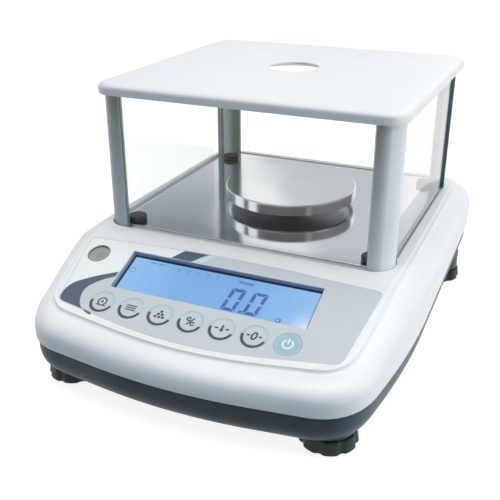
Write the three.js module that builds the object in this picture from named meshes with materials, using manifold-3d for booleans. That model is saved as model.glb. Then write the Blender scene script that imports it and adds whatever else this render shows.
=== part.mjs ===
// A top-loading precision balance with a glass draft shield, as an assembly of separate pieces.
// Millimetres, +Z up, front towards -Y. Origin: on the bench, at the middle of the footprint.
import * as THREE from 'three';
import { mergeVertices } from 'three/addons/utils/BufferGeometryUtils.js';
import Module from 'manifold-3d';

const wasm = await Module();
wasm.setup();

// Housing
const housingLength = 279.4;
const housingWidth = 216;
const deckHeight = 70.4;
const partingFront = 27.9;      // height of the seam between the two shells at the front
const rearFaceHeight = 30.2;    // seam to the deck at the rear
const frontFaceHeight = 17.14;  // seam to the slope's lower end at the front
const shellWall = 2.4;
const seamGap = 0.35;
const fitGap = 0.3;             // clearance between pieces that touch
const overrun = 2;              // how far a cut runs past what it cuts
const mergeTolerance = 0.0001;

// Raised tier round the deck and the panel, with the ledge outside it
const sideLedge = 10.9;
const frontLedge = 14.7;
const rearLedge = 10;
const frontBow = 8.7;           // how far the front's middle stands out before its corners
const rearBow = 1.5;
const frontTaper = 8.9;         // how much narrower each side of the tier is at the front
const rearTaper = 1.7;
const frontCornerCut = 16;
const rearCornerCut = 13;
const sideBendCut = 36;         // reach of the long curve where the sides start to taper
const bowShare = 0.5;           // share of a bowed edge's legs that its curve takes up
const tierRound = 3.4;
const tierStep = 2.8;
const ledgeRound = 11.2;
const lipRound = 1.6;

// Sloping panel
const panelRun = 68.1;          // tier's front to the line where deck and slope would meet
const bendLength = 8.6;
const bendShares = [-1 / 2, -1 / 6, 1 / 6, 1 / 2];  // where the bend has points
const overlayThickness = 0.6;
const overlayTop = 8.1;         // all down the slope from the bend line
const overlayFrontInset = 4.6;  // the panel's front corners to the overlay's
const overlayTopBow = 3.4;
const overlayBottomBow = 10.1;
const overlayTopMargin = 6.2;   // tier edge to overlay edge
const overlayBottomMargin = 5;
const overlayCorner = 4;

// Display and keys
const windowSideMargin = 37.8;  // tier edge to the window's edge
const windowShift = 0.9;        // the window's middle, right of the panel's
const windowTop = 13.2;
const windowLap = 2.6;          // how far the pane reaches behind the overlay
const windowThickness = 1.4;
const displayDepth = 5.4;
const displayMargin = 3;
const displayRebate = 0.5;
const boardThickness = 1.6;
const keyCount = 7;
const keyRowInset = 3.8;        // half the row of key centres is this much shorter than the window's
const keyRowShift = -1.3;
const keySpacing = 3.7;
const keyDip = 2.3;             // how far the keys reach below the overlay's corners
const keyWindowGap = 4.4;
const keyFlange = 1;
const keyFlangeThickness = 0.8;
const keyStemRadius = 2;
const keyStemLength = 1.1;
const keyTravel = 0.5;
const switchRadius = 3.2;
const switchHeight = 1.2;
const switchBoardDepth = 11.2;
const switchBoardEnd = 3;

// Level window
const levelInset = 17.9;        // tier edge to the level's middle
const levelLine = 20.2;
const levelRadius = 7;
const levelDepth = 7;
const levelRim = 1.6;
const levelLensHeight = 1.4;

// Draft shield
const shieldMargin = 5.3;       // tier edge to the recess at the sides
const recessRearMargin = 6.9;
const recessFrontGap = 8;       // bend line to the recess
const panForward = 2.35;        // the pan's middle, in front of the recess's
const recessCorner = 12.6;
const recessDepth = 4.4;
const frameThickness = 1.5;
const frameLap = 8.7;           // frame's inner edge beyond the posts' legs
const postGap = 0.75;           // recess edge to the posts' outer faces
const postWall = 2.9;
const postRadius = 12.2;
const postCrossLeg = 14.5;      // whole reach of each leg, corner included
const postSideLeg = 13;
const paneThickness = 2.4;
const crossPaneInset = 1;       // post outer face to pane outer face, at the front and rear
const sidePaneInset = 3.2;
const shieldHeight = 82.1;      // deck to the lid's underside
const lidFrontOverhang = 4.65;  // lid edge beyond the posts
const lidSideOverhang = 1.2;
const lidRearOverhang = 2.65;
const lidCorner = 14;
const lidEdge = 6.5;            // height of the lid's edge
const lidCrown = 1.4;
const crownShares = [0.2, 0.6]; // where the lid's crown has rings, from its edge to its middle
const lidRound = 3.5;
const lidWall = 2.6;
const lidRim = 9.5;
const lidHoleRadius = 15.7;
const plateThickness = 1;
const plateProud = 0.4;         // plate above the deck
const plateSkirt = 2.4;
const plateCorner = 9;
const plateHoleRadius = 12.5;
const knobSideInset = 15;       // posts' outer faces to the knobs' middles
const knobFrontInset = 12.2;
const knobRearInset = 20;
const knobRadius = 5.9;
const knobHeight = 3;
const knobChamfer = 0.7;

// Pan and its support
const panRadius = 43.2;
const panHeight = 7;
const panClearance = 5.6;       // plate to the pan's rim
const panSheet = 1.2;
const panEdge = 0.8;
const panSocketRadius = 12;
const panSocketWall = 1.5;
const supportDiscRadius = 31;
const supportDiscThickness = 2;
const supportShaftRadius = 6;
const supportHubRadius = 10.5;
const collarRadius = 11;
const collarWall = 2;
const collarHeight = 2;

// Load cell
const cellLength = 130;
const cellWidth = 30;
const cellWeb = 1.5;            // thickness left at each flexure
const cellHoleSpacing = 34;
const cellSlot = 4;
const cellSpacer = 3;
const cellBaseThickness = 4;
const cellBaseMargin = 6;
const cellBaseLift = 5.35;      // tray floor to the cell's base plate
const bracketThickness = 3.6;
const bracketPad = 2.4;
const cellSeatLength = 26;      // clamped length at each end of the cell
const cellBoltRadius = 3;
const cellBoltSpacing = 15;
const boltHeadRim = 1.6;        // head beyond the shank
const boltHeadHeight = 3;
const boltSocketRadius = 1.6;
const stopRadius = 2.5;
const stopGap = 0.4;

// Lower housing and feet
const baseDepth = 18.7;
const baseInset = 1.4;
const baseStraight = 5.8;
const baseCurve = 10.6;
const footInset = 29.7;         // side wall to the front feet
const footRearInset = 18;
const footFrontY = 31.2;        // front wall to the front feet
const footRearY = 31.6;         // rear wall to the rear feet
const footRadius = 15.6;
const footTaper = 0.9;
const footScallop = 1.1;
const footLobes = 8;
const footGap = 0.24;           // wheels to the lower housing's bottom
const footRound = 1.2;
const padRadius = 12.4;
const padHeight = 2.6;
const padProud = 1.2;
const studRadius = 4;
const studLength = 20;
const studHeadRadius = 6.5;
const studHeadHeight = 2;
const legRadius = 13.8;
const bossWall = 3.2;
const footTravelClearance = 0.3;
const screwRadius = 1.5;
const screwHeadRadius = 3;
const screwHeadHeight = 2;
const screwBossRadius = 4;
const screwLength = 14;
const screwInset = 17;          // tier edge to the housing screws
const screwFrontSetback = 47;   // front wall to the front housing screws
const screwRearSetback = 58;

// Electronics
const boardScrewGap = 3.1;      // board to the housing's screw bosses
const mainBoardLength = 96;
const mainBoardGap = 12;        // load cell side to the board
const mainBoardLift = 6;
const chipHeight = 2;
const boardPostRadius = 3;
// Each part on the main board: its left, right, front and rear edges, and its height in chips
const socketShares = [0.1, 0.5, 0.08, 0.14, 2];
const chipShares = [
  [0.15, 0.45, 0.4, 0.55, 1],
  [0.6, 0.85, 0.3, 0.42, 1],
  [0.2, 0.4, 0.7, 0.85, 3],
  [0.6, 0.9, 0.65, 0.9, 2],
];
const cableBendShares = [0.25, 0.7];  // where the cable bends, from its upper end to its lower
const cableThickness = 0.9;

// Rear ports
const portPlateWidth = 74;
const portPlateHeight = 13;
const portPlateThickness = 1.6;
const portInset = 67.1;         // tier edge to the port plate's middle
const portOpeningLap = 2;
const portLine = 8.6;           // port centres above the seam
const serialWidth = 24.9;
const serialHeight = 9.4;
const serialFlangeWidth = 30.8;
const serialFlangeHeight = 11.6;
const serialSlant = 1.1;
const serialProud = 2;
const serialFlange = 0.8;
const serialBody = 9;
const serialSpacing = 20;       // port plate centre to each port
const pinHoleRadius = 0.55;
const pinPitch = 2.76;
const pinRowGap = 2.84;
const inletRadius = 4.4;
const inletBore = 3.1;
const inletPin = 1;
const inletDepth = 8;
const inletBody = 12;
const inletFlange = 5.4;

// Facets of round pieces
const fineFacets = 44;
const roundFacets = 20;
const keyFacets = 18;
const smallFacets = 12;
const tinyFacets = 6;
const cornerFacets = 3;         // half the facets of each corner of a rounded plate

// Sizes worked out from those above
const frontWallY = -housingLength / 2;
const rearWallY = housingLength / 2;
const tierHalf = housingWidth / 2 - sideLedge;
const tierFrontY = frontWallY + frontLedge;
const tierRearY = rearWallY - rearLedge;
const partingRise = deckHeight - rearFaceHeight - partingFront;
const bendY = tierFrontY + panelRun;
const slopeFall = deckHeight - partingFront - frontFaceHeight;
const panelSlope = Math.atan(slopeFall / (panelRun - tierRound));
const overlayBottom = (panelRun - frontBow) / Math.cos(panelSlope) - overlayFrontInset;
const windowWidth = 2 * (tierHalf - windowSideMargin);
const windowLeft = windowShift - windowWidth / 2;
const windowRight = windowShift + windowWidth / 2;
const keyPitch = (windowWidth - 2 * keyRowInset) / (keyCount - 1);
const keyRadius = (keyPitch - keySpacing) / 2;
const keyLine = overlayBottom + keyDip - keyRadius;
const windowBottom = keyRadius + keyWindowGap - keyLine;
const levelX = levelInset - tierHalf;
const recessHalf = tierHalf - shieldMargin;
const recessFrontY = bendY + recessFrontGap;
const recessRearY = tierRearY - recessRearMargin;
const panCentreY = (recessFrontY + recessRearY) / 2 - panForward;
const recessFloor = deckHeight - recessDepth;
const frameTop = recessFloor + fitGap + frameThickness;
const postHalf = recessHalf - postGap;
const postFrontY = recessFrontY + postGap;
const postRearY = recessRearY - postGap;
const postBottom = frameTop + fitGap;
const lidBottom = deckHeight + shieldHeight;
const postTop = lidBottom - fitGap;
const plateTop = deckHeight + plateProud;
const plateHalf = postHalf - sidePaneInset - paneThickness - fitGap;
const plateFrontY = postFrontY + crossPaneInset + paneThickness + fitGap;
const plateRearY = postRearY - crossPaneInset - paneThickness - fitGap;
const panRimBottom = plateTop + panClearance;
const panTop = panRimBottom + panHeight;
const supportBottom = recessFloor - shellWall - fitGap;
const bracketTop = supportBottom - fitGap;
const cellTop = bracketTop - bracketThickness - bracketPad - fitGap;
const cellFrontY = panCentreY - cellLength / 2;
const cellRearY = panCentreY + cellLength / 2;
const cellBaseBottom = trayFloor(cellRearY + cellBaseMargin) + cellBaseLift;
const cellBaseTop = cellBaseBottom + cellBaseThickness;
const cellBottom = cellBaseTop + cellSpacer + fitGap;
const cellHeight = cellTop - cellBottom;
const casingUnderPanel = -shellWall;
const windowPaneTop = -overlayThickness - fitGap;
const displayFace = casingUnderPanel - fitGap;
const keyFlangeTop = casingUnderPanel - fitGap;
const keyStemBottom = keyFlangeTop - keyFlangeThickness - keyStemLength;
const switchBoardTop = keyStemBottom - keyTravel - fitGap - switchHeight;
const footX = housingWidth / 2 - footInset;
const footRearX = housingWidth / 2 - footRearInset;
const footFrontEnd = frontWallY + footFrontY - footRadius;
const footRearEnd = rearWallY - footRearY - footRadius;
const footHeight = trayFloor(Math.min(footFrontEnd, footRearEnd)) - shellWall - footGap;
const portPlateX = portInset - tierHalf;

const paint = {
  white: { color: 0xe9ebee, roughness: 0.42, metalness: 0 },
  teal: { color: 0x2f434c, roughness: 0.5, metalness: 0 },
  overlay: { color: 0xd0d6d9, roughness: 0.55, metalness: 0 },
  key: { color: 0xd5dbde, roughness: 0.55, metalness: 0 },
  display: { color: 0x83afdd, roughness: 0.3, metalness: 0 },
  clear: { color: 0xdcebe8, roughness: 0.05, metalness: 0, transparent: true, opacity: 0.3 },
  steel: { color: 0xb4b8b9, roughness: 0.32, metalness: 1 },
  aluminium: { color: 0xb9bcc0, roughness: 0.4, metalness: 1 },
  black: { color: 0x1c1e1f, roughness: 0.6, metalness: 0 },
  rubber: { color: 0x24292b, roughness: 0.85, metalness: 0 },
  board: { color: 0x1f5b3c, roughness: 0.6, metalness: 0 },
  grey: { color: 0x8d8c8a, roughness: 0.35, metalness: 0 },
  post: { color: 0xbcc5ca, roughness: 0.45, metalness: 0 },
};

// Solids from three.js geometry, joined and cut
function toSolid(geometry) {
  const bare = geometry.clone();
  bare.deleteAttribute('normal');
  bare.deleteAttribute('uv');
  const merged = mergeVertices(bare, mergeTolerance);
  const corners = merged.index.array;
  const kept = [];
  for (let i = 0; i < corners.length; i += 3) {
    const [a, b, c] = [corners[i], corners[i + 1], corners[i + 2]];
    if (a !== b && b !== c && c !== a) kept.push(a, b, c);
  }
  const vertProperties = new Float32Array(merged.attributes.position.array);
  return new wasm.Manifold(new wasm.Mesh({ numProp: 3, vertProperties, triVerts: new Uint32Array(kept) }));
}

function join(first, ...others) {
  return others.reduce((sum, other) => sum.add(other), first);
}

function cut(first, ...others) {
  return others.reduce((rest, other) => rest.subtract(other), first);
}

function piece(name, solid, look) {
  const result = solid.getMesh();
  const geometry = new THREE.BufferGeometry();
  geometry.setAttribute('position', new THREE.BufferAttribute(result.vertProperties, 3));
  geometry.setIndex(new THREE.BufferAttribute(result.triVerts, 1));
  geometry.computeVertexNormals();
  const mesh = new THREE.Mesh(geometry, new THREE.MeshStandardMaterial(paint[look]));
  mesh.name = name;
  return mesh;
}

function block(x0, x1, y0, y1, z0, z1) {
  const box = new THREE.BoxGeometry(x1 - x0, y1 - y0, z1 - z0);
  return toSolid(box.translate((x0 + x1) / 2, (y0 + y1) / 2, (z0 + z1) / 2));
}

function rod(radius, bottom, top, x = 0, y = 0, facets = smallFacets) {
  const cylinder = new THREE.CylinderGeometry(radius, radius, top - bottom, facets);
  return toSolid(cylinder.rotateX(Math.PI / 2).translate(x, y, (bottom + top) / 2));
}

// A rod along Y, for the ports
function rodY(radius, front, rear, x, z, facets = smallFacets) {
  const cylinder = new THREE.CylinderGeometry(radius, radius, rear - front, facets);
  return toSolid(cylinder.translate(x, (front + rear) / 2, z));
}

// A turned piece; its profile is a list of [radius, height] pairs, up the outside
function turned(profile, facets, x = 0, y = 0) {
  const points = profile.map(([radius, height]) => new THREE.Vector2(radius, height));
  return toSolid(new THREE.LatheGeometry(points, facets).rotateX(Math.PI / 2).translate(x, y, 0));
}

function prism(shape, bottom, top) {
  const options = { depth: top - bottom, bevelEnabled: false, curveSegments: cornerFacets };
  return toSolid(new THREE.ExtrudeGeometry(shape, options).translate(0, 0, bottom));
}

function roundedRectangle(x0, x1, y0, y1, radius) {
  const shape = new THREE.Shape();
  shape.moveTo(x0 + radius, y0);
  shape.lineTo(x1 - radius, y0);
  shape.absarc(x1 - radius, y0 + radius, radius, -Math.PI / 2, 0);
  shape.absarc(x1 - radius, y1 - radius, radius, 0, Math.PI / 2);
  shape.absarc(x0 + radius, y1 - radius, radius, Math.PI / 2, Math.PI);
  shape.absarc(x0 + radius, y0 + radius, radius, Math.PI, 1.5 * Math.PI);
  return shape;
}

// Steps of a quarter turn, from 0 to 90 degrees
function quarterTurn(steps) {
  return Array.from({ length: steps + 1 }, (_, i) => (i / steps) * (Math.PI / 2));
}

// Height of the deck and the slope above the bench, along the middle of the balance
function topHeight(y) {
  const run = bendY + bendLength / 2 - y;
  const tangent = Math.tan(panelSlope);
  if (run <= 0) return deckHeight;
  if (run < bendLength) return deckHeight - (tangent * run * run) / (2 * bendLength);
  return deckHeight - tangent * (run - bendLength / 2);
}

function partingHeight(y) {
  return partingFront + (partingRise * (y - frontWallY)) / housingLength;
}

// Half an outline, from the front's middle to the rear's, with each corner rounded off
function halfOutline(corners) {
  const mirrored = ({ point }) => new THREE.Vector2(-point.x, point.y);
  const last = corners.length - 1;
  const points = [];
  corners.forEach(({ point, cutLength, steps, legSteps = 1 }, i) => {
    const before = i === 0 ? mirrored(corners[1]) : corners[i - 1].point;
    const after = i === last ? mirrored(corners[last - 1]) : corners[i + 1].point;
    const towards = (end) => end.clone().sub(point).setLength(cutLength).add(point);
    const curve = new THREE.QuadraticBezierCurve(towards(before), point, towards(after));
    let arc = curve.getPoints(steps);
    if (i === 0) arc = arc.slice(steps / 2);
    if (i === last) arc = arc.slice(0, steps / 2 + 1);
    const from = points.at(-1);
    for (let k = 1; from && k < legSteps; k += 1) points.push(from.clone().lerp(arc[0], k / legSteps));
    points.push(...arc);
  });
  return points;
}

function closeOutline(half) {
  const left = half.slice(1, -1).reverse().map((p) => new THREE.Vector2(-p.x, p.y));
  return [...half, ...left];
}

function outlineNormals(outline) {
  return outline.map((_, i) => {
    const along = outline[(i + 1) % outline.length].clone().sub(outline.at(i - 1)).normalize();
    return new THREE.Vector2(along.y, -along.x);
  });
}

// A middle point's own corner, so that the rounded curve passes at the given height
function bowCorner(middleY, cornerX, cornerY) {
  const pull = bowShare / 2;
  const y = (middleY - cornerY * pull) / (1 - pull);
  return { y, cutLength: bowShare * Math.hypot(cornerX, cornerY - y) };
}

// The tier's own outline, from which every ring of the two shells is stepped off
function tierOutline() {
  const frontCorner = new THREE.Vector2(tierHalf - frontTaper, tierFrontY + frontBow);
  const rearCorner = new THREE.Vector2(tierHalf - rearTaper, tierRearY - rearBow);
  const front = bowCorner(tierFrontY, frontCorner.x, frontCorner.y);
  const rear = bowCorner(tierRearY, rearCorner.x, rearCorner.y);
  return closeOutline(withBendPoints(halfOutline([
    { point: new THREE.Vector2(0, front.y), cutLength: front.cutLength, steps: 6 },
    { point: frontCorner, cutLength: frontCornerCut, steps: 5 },
    { point: new THREE.Vector2(tierHalf, bendY), cutLength: sideBendCut, steps: 4 },
    { point: rearCorner, cutLength: rearCornerCut, steps: 4, legSteps: 3 },
    { point: new THREE.Vector2(0, rear.y), cutLength: rear.cutLength, steps: 4 },
  ])));
}

// Adds points to half an outline where the top surface bends from slope to deck
function withBendPoints(half) {
  const stations = bendShares.map((share) => bendY + share * bendLength);
  const inside = (y) => stations.filter((station) => Math.abs(station - y) < bendLength / 12);
  const kept = half.filter((point) => point.x === 0 || inside(point.y).length === 0);
  const added = stations.map((y) => {
    const after = kept.findIndex((point) => point.y > y);
    const [low, high] = [kept[after - 1], kept[after]];
    return low.clone().lerp(high, (y - low.y) / (high.y - low.y));
  });
  return [...kept, ...added].sort((a, b) => a.y - b.y);
}

const tier = tierOutline();
const tierNormals = outlineNormals(tier);

function ledgeWidth(normal) {
  const edge = normal.y < 0 ? frontLedge : rearLedge;
  return sideLedge + (edge - sideLedge) * normal.y ** 2;
}

// One ring round the housing; the two functions give each point's step outwards and its height
function housingRing(stepOut, heightAt) {
  return tier.map((point, i) => {
    const normal = tierNormals[i];
    const plan = point.clone().addScaledVector(normal, stepOut(normal));
    const edge = point.clone().addScaledVector(normal, -tierRound);
    return new THREE.Vector3(plan.x, plan.y, heightAt(plan.y, edge.y));
  });
}

// A closed skin over rings of equal length, lowest ring first; its ends run straight across in X
function loft(rings) {
  const count = rings[0].length;
  const half = count / 2;
  const positions = rings.flat().flatMap((p) => [p.x, p.y, p.z]);
  const index = [];
  for (let r = 0; r < rings.length - 1; r += 1) {
    for (let i = 0; i < count; i += 1) {
      const a = r * count + i;
      const b = r * count + ((i + 1) % count);
      index.push(a, b, b + count, a, b + count, a + count);
    }
  }
  const top = (rings.length - 1) * count;
  for (let i = 0; i < half; i += 1) {
    const [right, left] = [i, (count - i) % count];
    const [nextRight, nextLeft] = [i + 1, count - i - 1];
    if (left !== right) index.push(top + right, top + nextRight, top + left, right, left, nextRight);
    if (nextLeft !== nextRight) {
      index.push(top + left, top + nextRight, top + nextLeft, left, nextLeft, nextRight);
    }
  }
  const geometry = new THREE.BufferGeometry();
  geometry.setAttribute('position', new THREE.Float32BufferAttribute(positions, 3));
  geometry.setIndex(index);
  return toSolid(geometry);
}

// How much height the ledge's round has above the seam
function ledgeDrop(ownY, edgeY) {
  const room = topHeight(edgeY) - tierStep - partingHeight(ownY) - 2 * lipRound;
  return Math.min(ledgeRound, room);
}

// Outer skin of the upper housing: lip, wall, ledge, step and deck
function upperSkin() {
  const lip = quarterTurn(1).map((angle) => housingRing(
    (normal) => ledgeWidth(normal) - lipRound * (1 - Math.sin(angle)),
    (ownY) => partingHeight(ownY) + lipRound * (1 - Math.cos(angle)),
  ));
  const ledge = quarterTurn(4).reverse().map((angle) => housingRing(
    (normal) => ledgeWidth(normal) * Math.sin(angle),
    (ownY, edgeY) => topHeight(edgeY) - tierStep - ledgeDrop(ownY, edgeY) * (1 - Math.cos(angle)),
  ));
  const step = quarterTurn(3).reverse().slice(1).map((angle) => housingRing(
    () => -tierRound * (1 - Math.sin(angle)),
    (_, edgeY) => topHeight(edgeY) - tierStep * (1 - Math.cos(angle)),
  ));
  return loft([...lip, ...ledge, ...step]);
}

// Hollow of the upper housing, one wall inside the skin and open below
function upperHollow() {
  const below = housingRing(
    (normal) => ledgeWidth(normal) - shellWall,
    (ownY) => partingHeight(ownY) - overrun,
  );
  const ledge = quarterTurn(2).reverse().map((angle) => housingRing(
    (normal) => ledgeWidth(normal) * Math.sin(angle) - shellWall,
    (ownY, edgeY) => topHeight(edgeY) - tierStep - shellWall
      - ledgeDrop(ownY, edgeY) * (1 - Math.cos(angle)),
  ));
  const deck = housingRing(
    () => -tierRound - shellWall,
    (ownY) => topHeight(ownY) - shellWall,
  );
  return loft([below, ...ledge, deck]);
}

// Places a geometry that is drawn on the panel: X across, Y up the slope, Z out of it
const panelFrame = new THREE.Matrix4()
  .makeRotationX(panelSlope)
  .setPosition(0, bendY, deckHeight);

function onPanel(solid) {
  const result = solid.getMesh();
  const geometry = new THREE.BufferGeometry();
  geometry.setAttribute('position', new THREE.BufferAttribute(result.vertProperties, 3));
  geometry.setIndex(new THREE.BufferAttribute(result.triVerts, 1));
  return toSolid(geometry.applyMatrix4(panelFrame));
}

// Half-width of the tier at a place down the slope
function tierHalfAt(downSlope) {
  const share = (downSlope * Math.cos(panelSlope)) / (bendY - (tierFrontY + frontBow));
  return tierHalf - frontTaper * share;
}

function overlayShape(growth) {
  const top = -overlayTop + growth;
  const bottom = -overlayBottom - growth;
  const topHalf = tierHalfAt(overlayTop) - overlayTopMargin + growth;
  const bottomHalf = tierHalfAt(overlayBottom) - overlayBottomMargin + growth;
  const topRight = new THREE.Vector2(topHalf, top);
  const bottomRight = new THREE.Vector2(bottomHalf, bottom);
  const lower = bowCorner(bottom - overlayBottomBow, bottomHalf, bottom);
  const upper = bowCorner(top + overlayTopBow, topHalf, top);
  return new THREE.Shape(closeOutline(halfOutline([
    { point: new THREE.Vector2(0, lower.y), cutLength: lower.cutLength, steps: 10 },
    { point: bottomRight, cutLength: overlayCorner, steps: 5 },
    { point: topRight, cutLength: overlayCorner, steps: 5 },
    { point: new THREE.Vector2(0, upper.y), cutLength: upper.cutLength, steps: 10 },
  ])));
}

const keyPlaces = Array.from({ length: keyCount }, (_, i) => (
  keyRowShift + (i - (keyCount - 1) / 2) * keyPitch));
const recessShape = roundedRectangle(-recessHalf, recessHalf, recessFrontY, recessRearY, recessCorner);

function screwPlaces() {
  const front = frontWallY + screwFrontSetback;
  const rear = rearWallY - screwRearSetback;
  const side = tierHalf - screwInset;
  return [[-side, front], [side, front], [-side, rear], [side, rear]];
}

const portX = { serial: portPlateX + serialSpacing, inlet: portPlateX - serialSpacing };
const portZ = partingHeight(rearWallY) + portLine;
const rearOuter = rearWallY - rearBow;
const portPlateRear = rearOuter - shellWall - fitGap;

function upperHousing() {
  const tubShape = roundedRectangle(
    -recessHalf - shellWall, recessHalf + shellWall,
    recessFrontY - shellWall, recessRearY + shellWall, recessCorner + shellWall,
  );
  const tub = prism(tubShape, recessFloor - shellWall, deckHeight - shellWall / 2);
  const collar = rod(collarRadius + collarWall, recessFloor - shellWall, recessFloor + collarHeight,
    0, panCentreY, roundFacets);
  const bosses = screwPlaces().map(([x, y]) => rod(
    screwBossRadius, partingHeight(y), topHeight(y) - shellWall / 2, x, y, tinyFacets));
  const screwHoles = screwPlaces().map(([x, y]) => rod(
    screwRadius + fitGap, partingHeight(y) - overrun, partingHeight(y) + screwLength, x, y, tinyFacets));
  const panelCuts = [
    prism(overlayShape(fitGap), windowPaneTop, overrun),
    block(windowLeft - windowLap - fitGap, windowRight + windowLap + fitGap,
      windowBottom - windowLap - fitGap, -windowTop + windowLap + fitGap,
      casingUnderPanel - overrun, overrun),
    rod(levelRadius + levelRim + fitGap, casingUnderPanel - overrun, overrun,
      levelX, -levelLine, roundFacets),
    ...keyPlaces.map((x) => rod(keyRadius + fitGap, casingUnderPanel - overrun, overrun, x, -keyLine,
      keyFacets)),
  ];
  const portOpening = block(
    portPlateX - portPlateWidth / 2 + portOpeningLap, portPlateX + portPlateWidth / 2 - portOpeningLap,
    portPlateRear - overrun, rearWallY + overrun,
    portZ - portPlateHeight / 2, portZ + portPlateHeight / 2,
  );
  const shell = join(cut(upperSkin(), upperHollow()), tub, ...bosses);
  const open = cut(shell, prism(recessShape, recessFloor, deckHeight + overrun));
  const withCollar = cut(join(open, collar), rod(collarRadius, recessFloor - shellWall - overrun,
    deckHeight + overrun, 0, panCentreY, roundFacets));
  return cut(withCollar, ...screwHoles, ...panelCuts.map(onPanel), portOpening);
}

// Lower housing: a tray whose seam runs parallel to the upper housing's
function trayRing(inset, drop) {
  return housingRing(
    (normal) => ledgeWidth(normal) - baseInset - inset,
    (ownY) => partingHeight(ownY) - seamGap - drop,
  );
}

function traySkin() {
  const curve = quarterTurn(3).reverse().map((angle) => trayRing(
    baseCurve * (1 - Math.cos(angle)),
    baseStraight + (baseDepth - baseStraight) * Math.sin(angle),
  ));
  return loft([...curve, trayRing(0, 0)]);
}

function trayHollow() {
  const floor = baseDepth - shellWall;
  const curve = quarterTurn(2).reverse().map((angle) => trayRing(
    shellWall + baseCurve * (1 - Math.cos(angle)),
    baseStraight + (floor - baseStraight) * Math.sin(angle),
  ));
  return loft([...curve, trayRing(shellWall, -overrun)]);
}

function trayFloor(y) {
  return partingHeight(y) - seamGap - baseDepth + shellWall;
}

const feet = [
  { name: 'front_left', x: -footX, y: frontWallY + footFrontY },
  { name: 'front_right', x: footX, y: frontWallY + footFrontY },
  { name: 'rear_left', x: -footRearX, y: rearWallY - footRearY },
  { name: 'rear_right', x: footRearX, y: rearWallY - footRearY },
];
const legBottom = footHeight + footTravelClearance;
const studTop = padProud + studHeadHeight + studLength;

const cellBaseHalf = cellWidth / 2 + cellBaseMargin;
const cellBaseEnds = [cellFrontY - cellBaseMargin, cellRearY + cellBaseMargin];

function cellBasePosts() {
  const inset = cellBaseMargin;
  const [front, rear] = cellBaseEnds;
  return [-1, 1].flatMap((side) => [front + inset, rear - inset].map((y) => (
    [side * (cellBaseHalf - inset / 2), y])));
}

const boardLeft = cellBaseHalf + mainBoardGap - cellBaseMargin;
const boardRight = tierHalf - screwInset - screwBossRadius - boardScrewGap;
const mainBoardWidth = boardRight - boardLeft;
const boardFront = panCentreY - mainBoardLength / 2;
const boardRear = panCentreY + mainBoardLength / 2;
const boardBottom = trayFloor(boardRear) + mainBoardLift;
const boardTop = boardBottom + boardThickness;
const [socketLeftShare, socketRightShare, socketFrontShare, socketRearShare, socketChips] = socketShares;
const cableLeft = boardLeft + mainBoardWidth * socketLeftShare;
const cableRight = boardLeft + mainBoardWidth * socketRightShare;

function boardPosts() {
  const inset = boardPostRadius + fitGap;
  return [boardLeft + inset, boardRight - inset].flatMap((x) => (
    [boardFront + inset, boardRear - inset].map((y) => [x, y])));
}

function lowerHousing() {
  const legs = feet.map(({ x, y }) => rod(legRadius, legBottom, trayFloor(y), x, y, roundFacets));
  const studBosses = feet.map(({ x, y }) => rod(
    studRadius + bossWall, trayFloor(y) - shellWall, Math.max(studTop, trayFloor(y)) + bossWall, x, y));
  const studHoles = feet.map(({ x, y }) => rod(
    studRadius + fitGap, legBottom - overrun, studTop + fitGap, x, y));
  const screwBosses = screwPlaces().map(([x, y]) => rod(
    screwBossRadius, trayFloor(y) - shellWall, partingHeight(y) - fitGap, x, y, tinyFacets));
  const screwHoles = screwPlaces().map(([x, y]) => rod(
    screwRadius + fitGap, trayFloor(y) - baseDepth, partingHeight(y), x, y, tinyFacets));
  const headPockets = screwPlaces().map(([x, y]) => rod(
    screwHeadRadius + fitGap, trayFloor(y) - baseDepth,
    trayFloor(y) + screwHeadHeight, x, y, tinyFacets));
  const cellPosts = cellBasePosts().map(([x, y]) => rod(
    screwBossRadius, trayFloor(y) - shellWall, cellBaseBottom - fitGap, x, y, tinyFacets));
  const boardBosses = boardPosts().map(([x, y]) => rod(
    boardPostRadius, trayFloor(y) - shellWall, boardBottom - fitGap, x, y, tinyFacets));
  const tray = cut(traySkin(), trayHollow());
  const built = join(tray, ...legs, ...studBosses, ...screwBosses, ...cellPosts, ...boardBosses);
  return cut(built, ...studHoles, ...screwHoles, ...headPockets);
}

// Front panel, drawn flat and tilted as a group
function panelPieces() {
  const panel = new THREE.Group();
  panel.position.set(0, bendY, deckHeight);
  panel.rotation.x = panelSlope;
  panel.add(
    piece('panel_overlay', panelOverlay(), 'overlay'),
    piece('display_window', displayWindow(), 'clear'),
    piece('display_module', displayModule(), 'display'),
    piece('display_board', displayBoard(), 'board'),
    piece('switch_board', switchBoard(), 'board'),
    piece('level_vial', levelVial(), 'grey'),
    piece('level_lens', levelLens(), 'clear'),
    ...keyPlaces.map((x, i) => piece(`key_${i + 1}`, key(x), 'key')),
  );
  return panel;
}

function panelOverlay() {
  return cut(
    prism(overlayShape(0), -overlayThickness, 0),
    block(windowLeft, windowRight, windowBottom, -windowTop, -overrun, overrun),
    rod(levelRadius, -overrun, overrun, levelX, -levelLine, roundFacets),
    ...keyPlaces.map((x) => rod(keyRadius + fitGap, -overrun, overrun, x, -keyLine, keyFacets)),
  );
}

function displayWindow() {
  const top = windowPaneTop;
  return block(windowLeft - windowLap, windowRight + windowLap,
    windowBottom - windowLap, -windowTop + windowLap, top - windowThickness, top);
}

// Glass, backlight and bezel in one, with the bezel's rebate round the glass
function displayModule() {
  const [low, high] = [windowBottom - displayMargin, -windowTop + displayMargin];
  const body = block(windowLeft - displayMargin, windowRight + displayMargin, low, high,
    displayFace - displayDepth, displayFace);
  const rebate = block(windowLeft - displayMargin / 2, windowRight + displayMargin / 2,
    windowBottom - displayMargin / 2, -windowTop + displayMargin / 2,
    displayFace - displayRebate, displayFace + overrun);
  return cut(body, rebate);
}

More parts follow.
